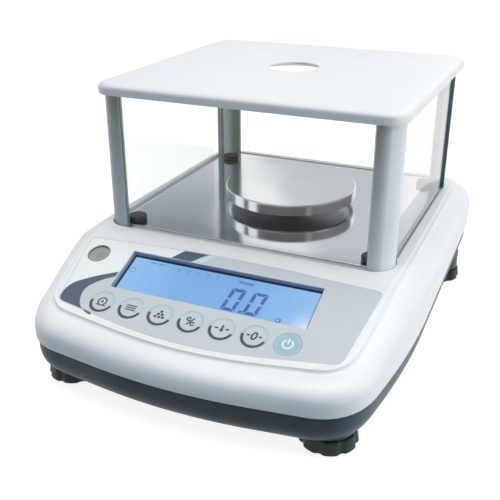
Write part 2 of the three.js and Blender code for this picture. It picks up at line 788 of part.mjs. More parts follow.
function displayBoard() {
  const top = displayFace - displayDepth - fitGap;
  const board = block(windowLeft - displayMargin, windowRight + displayMargin,
    windowBottom - displayMargin, -windowTop + displayMargin, top - boardThickness, top);
  const connector = block(cableLeft, cableRight, windowBottom + displayMargin,
    windowBottom + 2 * displayMargin, top - boardThickness - chipHeight, top - boardThickness / 2);
  return join(board, connector);
}

function switchBoard() {
  const half = (keyPitch * keyCount) / 2 + switchBoardEnd;
  const [low, high] = [-keyLine - switchBoardDepth / 2, -keyLine + switchBoardDepth / 2];
  const board = block(keyRowShift - half, keyRowShift + half, low, high,
    switchBoardTop - boardThickness, switchBoardTop);
  const domes = keyPlaces.map((x) => rod(switchRadius, switchBoardTop - boardThickness / 2,
    switchBoardTop + switchHeight, x, -keyLine, tinyFacets));
  const ears = [-1, 1].map((side) => rod(
    screwBossRadius / 2, switchBoardTop - boardThickness / 2, casingUnderPanel - fitGap,
    keyRowShift + side * (half - screwBossRadius / 2), high - screwBossRadius / 2,
    tinyFacets));
  return join(board, ...domes, ...ears);
}

// A key: cap flush with the overlay, a flange that keeps it in, and the stem above its switch
function key(x) {
  const flangeBottom = keyFlangeTop - keyFlangeThickness;
  return turned([
    [0, keyStemBottom],
    [keyStemRadius, keyStemBottom],
    [keyStemRadius, flangeBottom],
    [keyRadius + keyFlange, flangeBottom],
    [keyRadius + keyFlange, keyFlangeTop],
    [keyRadius, keyFlangeTop],
    [keyRadius, 0],
    [0, 0],
  ], keyFacets, x, -keyLine);
}

function levelVial() {
  const rim = levelRadius + levelRim;
  const top = windowPaneTop;
  const seat = top - levelLensHeight - fitGap;
  return turned([
    [0, top - levelDepth],
    [levelRadius, top - levelDepth],
    [rim, top - levelDepth + levelRim],
    [rim, top],
    [levelRadius + fitGap, top],
    [levelRadius + fitGap, seat],
    [0, seat - fitGap],
  ], roundFacets, levelX, -levelLine);
}

function levelLens() {
  const top = windowPaneTop;
  return turned([
    [0, top - levelLensHeight],
    [levelRadius, top - levelLensHeight],
    [levelRadius, top - levelLensHeight / 2],
    [levelRadius / 2, top - levelLensHeight / 8],
    [0, top],
  ], roundFacets, levelX, -levelLine);
}

// Draft shield
function shieldFrame() {
  const outer = roundedRectangle(-recessHalf + fitGap, recessHalf - fitGap,
    recessFrontY + fitGap, recessRearY - fitGap, recessCorner - fitGap);
  const inset = postSideLeg + frameLap;
  const inner = roundedRectangle(-postHalf + inset, postHalf - inset,
    postFrontY + inset, postRearY - inset, recessCorner);
  outer.holes.push(inner);
  return prism(outer, recessFloor + fitGap, frameTop);
}

// A corner post for the front right, mirrored to the other corners by its two signs
function cornerPost(sideX, sideY) {
  const x = (value) => sideX * value;
  const edge = sideY < 0 ? postFrontY : postRearY;
  const y = (value) => edge - sideY * value;
  const shape = new THREE.Shape();
  const outer = quarterTurn(5).map((angle) => [
    postHalf - postRadius + postRadius * Math.sin(angle),
    postRadius - postRadius * Math.cos(angle),
  ]);
  const hollow = postRadius - postWall;
  const inner = quarterTurn(5).reverse().map((angle) => [
    postHalf - postRadius + hollow * Math.sin(angle),
    postRadius - hollow * Math.cos(angle),
  ]);
  const points = [
    [postHalf - postCrossLeg, 0],
    ...outer,
    [postHalf, postSideLeg],
    [postHalf - postWall, postSideLeg],
    ...inner,
    [postHalf - postCrossLeg, postWall],
  ].map(([across, along]) => new THREE.Vector2(x(across), y(along)));
  const clockwise = THREE.ShapeUtils.isClockWise(points);
  shape.setFromPoints(clockwise ? points.reverse() : points);
  return prism(shape, postBottom, postTop);
}

function sidePane(sideX) {
  const outer = sideX * (postHalf - sidePaneInset);
  const inner = outer - sideX * paneThickness;
  return block(Math.min(outer, inner), Math.max(outer, inner),
    postFrontY + postSideLeg + fitGap, postRearY - postSideLeg - fitGap,
    postBottom, postTop);
}

function crossPane(edge, inwards) {
  const outer = edge + inwards * crossPaneInset;
  const inner = outer + inwards * paneThickness;
  const half = postHalf - postCrossLeg - fitGap;
  return block(-half, half, Math.min(outer, inner), Math.max(outer, inner), postBottom, postTop);
}

// Lid: rounded edge, crowned top, hollow below, and the round hole over the pan
function lidRing(inset, z) {
  const half = postHalf + lidSideOverhang - inset;
  const front = postFrontY - lidFrontOverhang + inset;
  const rear = postRearY + lidRearOverhang - inset;
  const corner = Math.max(lidCorner - inset, lidRound);
  const outline = closeOutline(halfOutline([
    { point: new THREE.Vector2(0, front), cutLength: corner, steps: 2 },
    { point: new THREE.Vector2(half, front), cutLength: corner, steps: 6 },
    { point: new THREE.Vector2(half, rear), cutLength: corner, steps: 6, legSteps: 3 },
    { point: new THREE.Vector2(0, rear), cutLength: corner, steps: 2 },
  ]));
  return outline.map((p) => new THREE.Vector3(p.x, p.y, z));
}

function shieldLid() {
  const edgeTop = lidBottom + lidEdge;
  const edge = quarterTurn(3).map((angle) => lidRing(
    lidRound * (1 - Math.cos(angle)), edgeTop - lidRound * (1 - Math.sin(angle))));
  const span = postHalf + lidSideOverhang - lidRound;
  const crown = crownShares.map((share) => lidRing(
    lidRound + span * share, edgeTop + lidCrown * (1 - (1 - share) ** 2)));
  const underside = lidRing(lidRim, lidBottom - overrun);
  const ceiling = lidRing(lidRim, edgeTop - lidWall);
  const body = cut(loft([lidRing(0, lidBottom), ...edge, ...crown]), loft([underside, ceiling]));
  return cut(body, rod(lidHoleRadius, lidBottom - overrun, edgeTop + lidCrown + overrun,
    0, panCentreY, fineFacets));
}

// Folded steel plate round the pan
function chamberPlate() {
  const outline = (inset) => roundedRectangle(-plateHalf + inset, plateHalf - inset,
    plateFrontY + inset, plateRearY - inset, plateCorner - inset);
  const sheet = prism(outline(0), plateTop - plateSkirt, plateTop);
  const hollow = prism(outline(plateThickness), plateTop - plateSkirt - overrun, plateTop - plateThickness);
  const hole = rod(plateHoleRadius, plateTop - plateSkirt - overrun, plateTop + overrun,
    0, panCentreY, roundFacets);
  return cut(sheet, hollow, hole);
}

function knobPieces() {
  const side = postHalf - knobSideInset;
  const [front, rear] = [postFrontY + knobFrontInset, postRearY - knobRearInset];
  return [
    piece('shield_knob_front_left', shieldKnob(-side, front), 'black'),
    piece('shield_knob_front_right', shieldKnob(side, front), 'black'),
    piece('shield_knob_rear_left', shieldKnob(-side, rear), 'black'),
    piece('shield_knob_rear_right', shieldKnob(side, rear), 'black'),
  ];
}

function shieldKnob(x, y) {
  const bottom = plateTop + fitGap;
  const top = bottom + knobHeight;
  return turned([
    [0, bottom],
    [knobRadius, bottom],
    [knobRadius, top - knobChamfer],
    [knobRadius - knobChamfer, top],
    [0, top],
  ], smallFacets, x, y);
}

// Pan: flat top, rolled edge, turned-down rim and a socket that drops over the support
function weighingPan() {
  const ceiling = panTop - panSheet;
  const inner = panRadius - panSheet;
  const round = quarterTurn(3).map((angle) => [
    panRadius - panEdge * (1 - Math.cos(angle)), panTop - panEdge * (1 - Math.sin(angle))]);
  const socketBottom = ceiling - panHeight / 2;
  return turned([
    [panSocketRadius, socketBottom],
    [panSocketRadius + panSocketWall, socketBottom],
    [panSocketRadius + panSocketWall, ceiling],
    [inner, ceiling],
    [inner, panRimBottom],
    [panRadius, panRimBottom],
    ...round,
    [0, panTop],
    [0, ceiling],
    [panSocketRadius, ceiling],
    [panSocketRadius, socketBottom],
  ], fineFacets, 0, panCentreY);
}

// Support: shaft through the deck, a hub that the pan's socket drops over, and a drip disc
function panSupport() {
  const hubTop = panTop - panSheet - fitGap;
  const discTop = hubTop - panHeight / 2 - fitGap;
  const discBottom = discTop - supportDiscThickness / 2;
  return turned([
    [0, bracketTop + fitGap],
    [supportShaftRadius, bracketTop + fitGap],
    [supportShaftRadius, discBottom],
    [supportDiscRadius, discBottom],
    [supportDiscRadius, discTop],
    [supportHubRadius, discTop],
    [supportHubRadius, hubTop],
    [0, hubTop],
  ], roundFacets, 0, panCentreY);
}

// Load cell: a bar with its two pairs of thin flexures left by holes joined by a slot
function loadCell() {
  const holeRadius = cellHeight / 2 - cellWeb;
  const middle = (cellTop + cellBottom) / 2;
  const shape = new THREE.Shape();
  shape.moveTo(cellFrontY, cellBottom);
  shape.lineTo(cellRearY, cellBottom);
  shape.lineTo(cellRearY, cellTop);
  shape.lineTo(cellFrontY, cellTop);
  const window = new THREE.Path();
  const reach = cellHoleSpacing / 2;
  const slotAngle = Math.asin(cellSlot / 2 / holeRadius);
  window.absarc(panCentreY + reach, middle, holeRadius, -Math.PI + slotAngle, Math.PI - slotAngle);
  window.absarc(panCentreY - reach, middle, holeRadius, slotAngle, 2 * Math.PI - slotAngle);
  shape.holes.push(window);
  const options = { depth: cellWidth, bevelEnabled: false, curveSegments: smallFacets };
  const geometry = new THREE.ExtrudeGeometry(shape, options).translate(0, 0, -cellWidth / 2);
  const swing = new THREE.Matrix4().makeBasis(
    new THREE.Vector3(0, 1, 0), new THREE.Vector3(0, 0, 1), new THREE.Vector3(1, 0, 0));
  const holes = [...boltPlaces(cellRearY, -1), ...boltPlaces(cellFrontY, 1)].map(([x, y]) => rod(
    cellBoltRadius + fitGap, cellBottom - overrun, cellTop + overrun, x, y));
  return cut(toSolid(geometry.applyMatrix4(swing)), ...holes);
}

function boltPlaces(end, inwards) {
  const middle = end + (inwards * cellSeatLength) / 2;
  return [[-cellBoltSpacing / 2, middle], [cellBoltSpacing / 2, middle]];
}

function cellBase() {
  const plate = block(-cellBaseHalf, cellBaseHalf, ...cellBaseEnds, cellBaseBottom, cellBaseTop);
  const seat = block(-cellWidth / 2, cellWidth / 2, cellRearY - cellSeatLength, cellRearY,
    cellBaseTop - cellBaseThickness / 2, cellBottom - fitGap);
  const holes = boltPlaces(cellRearY, -1).map(([x, y]) => rod(
    cellBoltRadius + fitGap, cellBaseBottom - overrun, cellBottom, x, y));
  const stopHole = rod(stopRadius + fitGap, cellBaseBottom - overrun, cellBaseTop + overrun,
    0, cellFrontY + cellSeatLength / 2);
  return cut(join(plate, seat), ...holes, stopHole);
}

// Stop screw under the cell's free end
function overloadStop() {
  const y = cellFrontY + cellSeatLength / 2;
  const nut = rod(2 * stopRadius, cellBaseTop + fitGap, cellBaseTop + cellSpacer / 2 + fitGap,
    0, y, tinyFacets);
  return join(rod(stopRadius, cellBaseBottom, cellBottom - stopGap, 0, y), nut);
}

// Bracket from the cell's free end to the middle of the pan
function topBracket() {
  const bottom = bracketTop - bracketThickness;
  const half = cellWidth / 2;
  const arm = block(-half, half, cellFrontY, panCentreY + 2 * supportShaftRadius, bottom, bracketTop);
  const seat = block(-half, half, cellFrontY, cellFrontY + cellSeatLength,
    cellTop + fitGap, bottom + bracketThickness / 2);
  const holes = boltPlaces(cellFrontY, 1).map(([x, y]) => rod(
    cellBoltRadius + fitGap, cellTop - overrun, bracketTop + overrun, x, y));
  return cut(join(arm, seat), ...holes);
}

// Bolts up through the base plate into the cell's fixed end
function cellBolt([x, y]) {
  const headTop = cellBaseBottom - fitGap;
  const shank = rod(cellBoltRadius, headTop - boltHeadHeight / 2, cellTop - cellWeb, x, y);
  const head = rod(cellBoltRadius + boltHeadRim, headTop - boltHeadHeight, headTop, x, y);
  const socket = rod(boltSocketRadius, headTop - boltHeadHeight - overrun,
    headTop - boltHeadHeight / 2, x, y, tinyFacets);
  return cut(join(shank, head), socket);
}

function housingScrew([x, y]) {
  const headTop = trayFloor(y) + screwHeadHeight - fitGap;
  const head = rod(screwHeadRadius, headTop - screwHeadHeight, headTop, x, y, tinyFacets);
  const shank = rod(screwRadius, headTop - screwHeadHeight / 2, headTop + screwLength, x, y, tinyFacets);
  return join(head, shank);
}

// Electronics
function mainBoard() {
  const board = block(boardLeft, boardRight, boardFront, boardRear, boardBottom, boardTop);
  const parts = [socketShares, ...chipShares].map(([left, right, front, rear, chips]) => block(
    boardLeft + mainBoardWidth * left, boardLeft + mainBoardWidth * right,
    boardFront + mainBoardLength * front, boardFront + mainBoardLength * rear,
    boardTop - boardThickness / 2, boardTop + chips * chipHeight));
  return join(board, ...parts);
}

// Flat cable from the display board's connector to the main board's, in one bent strip
function ribbonCable() {
  const [upperShare, lowerShare] = cableBendShares;
  const start = new THREE.Vector3(0, windowBottom + (displayMargin * 3) / 2,
    displayFace - displayDepth - boardThickness - chipHeight - fitGap - cableThickness);
  start.applyMatrix4(panelFrame);
  const endY = boardFront + (mainBoardLength * (socketFrontShare + socketRearShare)) / 2;
  const endZ = boardTop + socketChips * chipHeight + fitGap;
  const outline = new THREE.SplineCurve([
    new THREE.Vector2(start.y, start.z),
    new THREE.Vector2(start.y + (endY - start.y) * upperShare, (start.z * 2 + endZ) / 3),
    new THREE.Vector2(start.y + (endY - start.y) * lowerShare, endZ + cableThickness * 2),
    new THREE.Vector2(endY, endZ + cableThickness / 2),
  ]).getPoints(smallFacets);
  const upper = outline.map((p, i) => stripEdge(outline, p, i, cableThickness / 2));
  const lower = outline.map((p, i) => stripEdge(outline, p, i, -cableThickness / 2)).reverse();
  const shape = new THREE.Shape([...upper, ...lower]);
  const options = { depth: cableRight - cableLeft, bevelEnabled: false };
  const geometry = new THREE.ExtrudeGeometry(shape, options);
  const swing = new THREE.Matrix4().makeBasis(
    new THREE.Vector3(0, 1, 0), new THREE.Vector3(0, 0, 1), new THREE.Vector3(1, 0, 0));
  return toSolid(geometry.applyMatrix4(swing).translate(cableLeft, 0, 0));
}

function stripEdge(line, point, i, offset) {
  const before = line[Math.max(i - 1, 0)];
  const after = line[Math.min(i + 1, line.length - 1)];
  const along = after.clone().sub(before).normalize();
  return new THREE.Vector2(point.x - along.y * offset, point.y + along.x * offset);
}

// Rear ports
function portPlate() {
  const front = portPlateRear - portPlateThickness;
  const plate = block(portPlateX - portPlateWidth / 2, portPlateX + portPlateWidth / 2,
    front, portPlateRear, portZ - portPlateHeight / 2, portZ + portPlateHeight / 2);
  const serialHole = serialPrism(fitGap, front - overrun, portPlateRear + overrun);
  const inletHole = rodY(inletRadius + fitGap, front - overrun, portPlateRear + overrun, portX.inlet, portZ);
  return cut(plate, serialHole, inletHole);
}

// The serial port's outline: a flat D, narrower below
function serialPrism(growth, front, rear) {
  const half = serialWidth / 2 - serialFlangeHeight / 4 + growth;
  const high = serialHeight / 2 + growth;
  const points = [[-half + serialSlant, -high], [half - serialSlant, -high], [half, high], [-half, high]];
  const shape = new THREE.Shape(points.map(([x, z]) => new THREE.Vector2(x, z)));
  const geometry = new THREE.ExtrudeGeometry(shape, { depth: rear - front, bevelEnabled: false });
  return toSolid(geometry.rotateX(Math.PI / 2).translate(portX.serial, rear, portZ));
}

function serialPort() {
  const front = portPlateRear - portPlateThickness - fitGap;
  const flange = block(portX.serial - serialFlangeWidth / 2, portX.serial + serialFlangeWidth / 2,
    front - serialFlange, front, portZ - serialFlangeHeight / 2, portZ + serialFlangeHeight / 2);
  const body = serialPrism(-serialFlange, front - serialBody, front - serialFlange / 2);
  const nose = serialPrism(0, front - serialFlange / 2, portPlateRear + serialProud);
  const rows = [[5, pinRowGap / 2], [4, -pinRowGap / 2]];
  const holes = rows.flatMap(([count, rise]) => Array.from({ length: count }, (_, i) => rodY(
    pinHoleRadius, portPlateRear, portPlateRear + serialProud + overrun,
    portX.serial + (i - (count - 1) / 2) * pinPitch, portZ + rise, tinyFacets)));
  return cut(join(flange, body, nose), ...holes);
}

function powerInlet() {
  const front = portPlateRear - portPlateThickness - fitGap;
  const barrel = rodY(inletRadius, front - inletBody, portPlateRear + serialProud / 2, portX.inlet, portZ);
  const flange = rodY(inletFlange, front - inletBody, front, portX.inlet, portZ);
  const end = portPlateRear + serialProud;
  const bore = rodY(inletBore, end - inletDepth, end, portX.inlet, portZ);
  const pin = rodY(inletPin, end - inletDepth - overrun, portPlateRear, portX.inlet, portZ, tinyFacets);
  return join(cut(join(barrel, flange), bore), pin);
}

// Feet: scalloped wheel, threaded stud through it, rubber pad below
function scallopedRing(radius, z, x, y) {
  const count = footLobes * 3;
  return Array.from({ length: count }, (_, i) => {
    const angle = (i / count) * 2 * Math.PI - Math.PI / 2;
    const dip = footScallop * Math.max(0, Math.cos(angle * footLobes)) ** 2;
    return new THREE.Vector3(x + (radius - dip) * Math.cos(angle), y + (radius - dip) * Math.sin(angle), z);
  });
}

function footWheel({ x, y }) {
  const slope = (z) => footRadius - (footTaper * z) / footHeight;
  const wheel = loft([
    scallopedRing(slope(0) - footRound, padProud, x, y),
    scallopedRing(slope(0), padProud + footRound, x, y),
    scallopedRing(slope(footHeight), footHeight - footRound, x, y),
    scallopedRing(slope(footHeight) - footRound, footHeight, x, y),
  ]);
  const padSeat = rod(padRadius + fitGap, padProud - overrun, padHeight + fitGap, x, y, roundFacets);
  const headSeat = rod(studHeadRadius + fitGap, padProud, padHeight + studHeadHeight + 2 * fitGap, x, y,
    tinyFacets);
  const bore = rod(studRadius + fitGap, padProud, footHeight + overrun, x, y);
  return cut(wheel, padSeat, headSeat, bore);
}

function footStud({ x, y }) {
  const bottom = padHeight + fitGap;
  return join(
    rod(studHeadRadius, bottom, bottom + studHeadHeight, x, y, tinyFacets),
    rod(studRadius, bottom + studHeadHeight / 2, studTop, x, y),
  );
}

function footPad({ x, y }) {
  return turned([
    [0, 0],
    [padRadius - footRound, 0],
    [padRadius, footRound / 2],
    [padRadius, padHeight],
    [0, padHeight],
  ], smallFacets, x, y);
}

function footPieces() {
  return feet.flatMap((foot) => [
    piece(`foot_wheel_${foot.name}`, footWheel(foot), 'teal'),
    piece(`foot_stud_${foot.name}`, footStud(foot), 'steel'),
    piece(`foot_pad_${foot.name}`, footPad(foot), 'rubber'),
  ]);
}

function shieldPieces() {
  return [
    piece('shield_frame', shieldFrame(), 'white'),
    piece('post_front_left', cornerPost(-1, -1), 'post'),
    piece('post_front_right', cornerPost(1, -1), 'post'),
    piece('post_rear_left', cornerPost(-1, 1), 'post'),
    piece('post_rear_right', cornerPost(1, 1), 'post'),
    piece('pane_left', sidePane(-1), 'clear'),
    piece('pane_right', sidePane(1), 'clear'),
    piece('pane_front', crossPane(postFrontY, 1), 'clear'),
    piece('pane_rear', crossPane(postRearY, -1), 'clear'),
    piece('chamber_plate', chamberPlate(), 'steel'),
    ...knobPieces(),
    piece('shield_lid', shieldLid(), 'white'),
  ];
}

function weighingPieces() {
  return [
    piece('weighing_pan', weighingPan(), 'steel'),
    piece('pan_support', panSupport(), 'aluminium'),
    piece('top_bracket', topBracket(), 'aluminium'),
    piece('load_cell', loadCell(), 'aluminium'),
    piece('cell_base', cellBase(), 'steel'),
    ...boltPlaces(cellRearY, -1).map((place, i) => piece(`cell_bolt_${i + 1}`, cellBolt(place), 'steel')),
    piece('overload_stop', overloadStop(), 'steel'),
  ];
}

const balance = new THREE.Group();
balance.add(
  piece('upper_housing', upperHousing(), 'white'),
  piece('lower_housing', lowerHousing(), 'teal'),
  panelPieces(),
  ...shieldPieces(),
  ...weighingPieces(),
  piece('main_board', mainBoard(), 'board'),
  piece('ribbon_cable', ribbonCable(), 'grey'),
  piece('port_plate', portPlate(), 'black'),
  piece('power_inlet', powerInlet(), 'black'),
  piece('serial_port', serialPort(), 'steel'),
  ...screwPlaces().map((place, i) => piece(`housing_screw_${i + 1}`, housingScrew(place), 'steel')),
  ...footPieces(),
);

export default balance;
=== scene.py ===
# Looks of a precision balance with a glass draft shield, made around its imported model.
# Lengths are in millimetres until a mesh is made, which is in metres.
import math

import bmesh
import bpy
import numpy as np
from mathutils import Matrix, Vector

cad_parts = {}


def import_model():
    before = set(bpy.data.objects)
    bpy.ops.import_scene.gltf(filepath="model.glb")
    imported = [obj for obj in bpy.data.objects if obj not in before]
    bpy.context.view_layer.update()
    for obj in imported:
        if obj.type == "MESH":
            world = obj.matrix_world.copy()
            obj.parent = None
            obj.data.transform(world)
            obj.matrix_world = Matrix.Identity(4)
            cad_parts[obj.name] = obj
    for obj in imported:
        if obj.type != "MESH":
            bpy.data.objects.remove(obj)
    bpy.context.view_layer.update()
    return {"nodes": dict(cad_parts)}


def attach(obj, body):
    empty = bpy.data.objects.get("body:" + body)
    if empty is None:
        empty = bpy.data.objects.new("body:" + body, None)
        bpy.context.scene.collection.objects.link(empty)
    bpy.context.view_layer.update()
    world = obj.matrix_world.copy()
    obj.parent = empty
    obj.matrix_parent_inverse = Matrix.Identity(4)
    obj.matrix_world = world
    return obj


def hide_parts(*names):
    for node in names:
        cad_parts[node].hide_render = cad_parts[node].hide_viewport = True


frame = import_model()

MM = 0.001

# Camera
CAMERA_PLACE = (171.0, -416.0, 252.1)
CAMERA_AZIMUTH = 24.02
CAMERA_ELEVATION = 24.37
CAMERA_FOCAL_PIXELS = 761.3
CAMERA_REACH = 20000
PICTURE_PIXELS = 500
SENSOR = 36.0

# Housing
HOUSING_LENGTH = 279.4
HOUSING_WIDTH = 216.0
DECK_HEIGHT = 70.4
PARTING_FRONT = 27.9
PARTING_RISE = 12.3
SHELL_WALL = 2.4
SEAM_GAP = 0.35
FIT_GAP = 0.3
OVERRUN = 2.0
SIDE_LEDGE = 10.9
FRONT_LEDGE = 14.7
REAR_LEDGE = 10.0
FRONT_BOW = 8.7
REAR_BOW = 1.5
FRONT_TAPER = 8.9
REAR_TAPER = 1.7
FRONT_CORNER_CUT = 16.0
REAR_CORNER_CUT = 13.0
SIDE_BEND_CUT = 36.0
BOW_SHARE = 0.5
TIER_ROUND = 3.4
TIER_STEP = 2.8
CREASE_ROUND = 2.2
LEDGE_ROUND = 11.2
LIP_ROUND = 1.6
OUTLINE_SPACING = 2.5
MERGE_DISTANCE = 0.0001

# Shading: angles in degrees from which an edge looks sharp or is bevelled
SHARP_EDGE = 35
SHARP_LID_EDGE = 40
SHARP_POST_EDGE = 50
BEVELLED_EDGE = 40
NORMALS_WEIGHT = 80

# Sloping panel
PANEL_SLOPE = math.radians(21.4)
BEND_SETBACK = 91.5
BEND_LENGTH = 8.6
OVERLAY_THICKNESS = 0.6
OVERLAY_TOP = 8.1
OVERLAY_BOTTOM = 59.2
OVERLAY_TOP_BOW = 3.4
OVERLAY_BOTTOM_BOW = 10.1
OVERLAY_TOP_MARGIN = 4.8
OVERLAY_BOTTOM_MARGIN = 5.0
OVERLAY_CORNER = 4.0
INK = 0.04
NODE_EDGE = 0.25
PRINT_MARGIN = 0.4

# Display and keys
WINDOW_WIDTH = 118.6
WINDOW_X = 0.9
WINDOW_TOP = 13.2
WINDOW_HEIGHT = 29.1
WINDOW_LAP = 2.6
WINDOW_CORNER = 0.5
WINDOW_SLACK = 0.05
WINDOW_SHEET = 0.3
WINDOW_SINK = 0.9
WELL_DEPTH = 3.1
WELL_WALL = 1.0
WELL_FRAME = 1.5
WELL_FRAME_SHEET = 0.4
SCREEN_LAP = 0.5
SCREEN_SINK = 0.1
SCREEN_SHEET = 1.1
DIGIT_HEIGHT = 16.2
DIGIT_WIDTH = 8.4
DIGIT_STROKE = 2.1
DIGIT_SLANT = 0.1
DIGIT_GAP = 0.35
DIGIT_NOTCH_SHARE = 0.55
DIGIT_PITCH = 13.1
DIGIT_LEFT = 9.2
DIGIT_LINE = 31.0
POINT_SHIFT = 0.7
POINT = ("outline", (0, 0), (1.9, 0), (2.1, 1.8), (0.2, 1.8))
UNIT_PLACE = (42.2, -38.4)
FULL_TURN = (0, 359)
KEY_COUNT = 7
KEY_PITCH = 18.5
KEY_X = -1.3
KEY_LINE = 54.1
KEY_RADIUS = 7.4
KEY_GAP = 0.08
KEY_DEPTH = 2.4
KEY_BEVEL = 0.12
KEY_ARC = 6.5
KEY_ARC_WIDTH = 1.6
KEY_ARC_TURN = (180, 338)
KEY_HALO_WIDTH = 1.3
KEY_HALO_TURN = (-25, 188)
POWER_RING_WIDTH = 0.5
ICON_RISE = 0.4

# Printed band that runs round the panel's left end; millimetres across and up the slope
BAND_OUTER = [(-83.8, -55.4), (-84.0, -51.0), (-81.4, -45.2), (-74.6, -39.7), (-67.4, -35.2), (-59.4, -30.9)]
BAND_INNER = [(-57.6, -65.2), (-64.2, -62.6), (-69.0, -58.6), (-71.6, -53.2), (-72.0, -47.6), (-69.4, -42.9),
              (-64.6, -38.2), (-59.4, -34.6)]
SLANT_BAR = [(-33.8, -12.9), (-29.0, -6.8), (-27.6, -5.6), (-12.2, -5.3), (-14.5, -6.6), (-21.0, -12.9)]
PALE_BAR = [(-20.2, -12.9), (-13.4, -6.3), (-10.5, -5.3), (-5.0, -5.3), (-9.5, -7.5), (-15.0, -12.9)]

# Marks: arcs (middle, radius, width, turn), bars (ends, width), dots (middle, radius), ovals and outlines
UNIT_MARK = [("arc", 0, 0, 1.2, 0.5, *FULL_TURN), ("bar", 1.5, 1.4, 1.0, -2.6, 0.5),
             ("bar", -1.1, -2.7, 1.0, -2.7, 0.5)]
FAINT_MARKS = [("arc", -54.0, -24.6, 1.7, 0.45, *FULL_TURN), ("bar", -46.0, -16.6, -42.2, -16.6, 0.7),
               ("bar", -40.8, -16.6, -37.0, -16.6, 0.7), ("bar", 11.4, -17.8, 20.6, -18.2, 1.7),
               *[("bar", x, -16.8, x - 0.3, -19.8, 0.55) for x in (-26.2, -20.1, -14.0, -7.9, -1.8)]]
KEY_ICONS = [
    [("arc", 0, 0, 2.5, 0.85, -50, 230), ("outline", (0, 1.1), (0.9, 0), (0, -1.1), (-0.9, 0)),
     ("bar", -2.9, -2.6, 2.9, -2.6, 0.8)],
    [("bar", -3.2, y, 3.2, y, 0.75) for y in (1.5, 0, -1.5)],
    [("dot", x, y, 0.9)
     for x, y in ((0, 2), (-1.15, 0.1), (1.15, 0.1), (-2.3, -1.8), (0, -1.8), (2.3, -1.8))],
    [("arc", -1.5, 1.4, 1.05, 0.85, *FULL_TURN), ("arc", 1.5, -1.4, 1.05, 0.85, *FULL_TURN),
     ("bar", 1.7, 2.6, -1.7, -2.6, 0.85)],
    [("bar", 0, 2.4, 0, -0.5, 1.2), ("outline", (-1.5, -0.4), (0, -2.4), (1.5, -0.4)),
     ("bar", -4.1, 0, -2.1, 0, 1), ("bar", 2.1, 0, 4.1, 0, 1)],
    [("ovals", (1.75, 2.7), (0.75, 1.6)), ("bar", -4.3, 0, -2.5, 0, 1), ("bar", 2.5, 0, 4.3, 0, 1)],
    [("arc", 0, -0.3, 2.7, 0.85, -235, 55), ("bar", 0, 0.1, 0, 3.4, 0.9)],
]

# Level window; profiles are radius and height above the panel
LEVEL_X = -79.2
LEVEL_LINE = 20.2
LEVEL_RADIUS = 7.0
LEVEL_WALL = 1.2
LEVEL_FLOOR = 2.7
LEVEL_DEPTH = 7.0
LEVEL_RING = (3.1, 0.35)
LEVEL_RING_SINK = 1.5
LEVEL_LIQUID = [(0, -2.6), (6.9, -2.6), (6.9, -1.6), (0, -1.5)]
LEVEL_BUBBLE = [(0, -1.5), (2.2, -1.48), (2.4, -1.4), (2.1, -1.28), (0, -1.2)]
LEVEL_BUBBLE_SHIFT = (0.4, 0.6)
LEVEL_LENS = [(0, -1.15), (6.9, -1.15), (6.9, -0.7), (4.2, -0.45), (0, -0.35)]

# Draft shield
PAN_Y = 34.6
SHIELD_MARGIN = 5.3
RECESS_FRONT = 83.5
RECESS_REAR = 88.2
RECESS_CORNER = 12.6
RECESS_DEPTH = 4.4
FRAME_THICKNESS = 1.5
POST_GAP = 0.75
POST_WALL = 2.9
POST_RADIUS = 12.2
POST_CROSS_LEG = 14.5
POST_SIDE_LEG = 13.0
POST_TIP = 0.9
POST_FRONT_INSET = 1.3
POST_INSET = 2.65
POST_REAR_INSET = 2.5
PANE_THICKNESS = 2.4
CROSS_PANE_INSET = 1.0
SIDE_PANE_INSET = 3.2
SHIELD_HEIGHT = 82.1
LID_FRONT_OVERHANG = 4.65
LID_SIDE_OVERHANG = 1.2
LID_REAR_OVERHANG = 2.65
LID_CORNER = 14.0
LID_EDGE = 6.5
LID_CROWN = 1.4
LID_ROUND = 3.5
LID_WALL = 2.6
LID_RIM = 9.5
LID_HOLE = 15.7
LID_FLARE = 7.5
LID_ARRIS = 0.7
LID_CORNER_STEPS = 16
LID_SIDE_STEPS = 24
PLATE_THICKNESS = 1.0
PLATE_PROUD = 0.4
PLATE_SKIRT = 2.4
PLATE_FOLD = 0.3
PLATE_CORNER = 9.0
PLATE_HOLE = 12.5
KNOB_RADIUS = 5.9
KNOB_HEIGHT = 3.0
KNOB_SIDE_INSET = 15.0
KNOB_FRONT_INSET = 12.2
KNOB_REAR_INSET = 20.0
KNOB_CHAMFER = 0.7

# Pan and support
PAN_RADIUS = 43.2
PAN_HEIGHT = 7.0
PAN_CLEARANCE = 5.6
PAN_SHEET = 1.2
PAN_EDGE = 0.8
PAN_BEAD = 0.3
PAN_SOCKET = 12.0
PAN_SOCKET_WALL = 1.5
SUPPORT_DISC = 39.5
SUPPORT_SHAFT = 6.0
SUPPORT_HUB = 10.5
SUPPORT_SHEET = 1.0
SUPPORT_ROUND = 0.25
COLLAR_RADIUS = 11.0
COLLAR_WALL = 2.0
COLLAR_HEIGHT = 2.0

# Lower housing and feet
BASE_DEPTH = 18.7
BASE_INSET = 1.4
BASE_STRAIGHT = 5.8
BASE_CURVE = 10.6
BASE_BEVEL_IN = 0.4
BASE_BEVEL_DOWN = 1.0
FOOT_X = 78.3
FOOT_REAR_X = 90.0
FOOT_FRONT_Y = 31.2
FOOT_REAR_Y = 31.6
FOOT_RADIUS = 15.6
FOOT_TAPER = 0.9
FOOT_SCALLOP = 1.1
FOOT_LOBES = 8
FOOT_HEIGHT = 9.3
FOOT_ROUND = 1.2
FOOT_POINTS = 144
PAD_RADIUS = 12.4
PAD_HEIGHT = 2.6
PAD_PROUD = 1.2
PAD_ROUND = 0.5
LEG_RADIUS = 13.8
LEG_ROUND = 0.8
STUD_RADIUS = 4.0

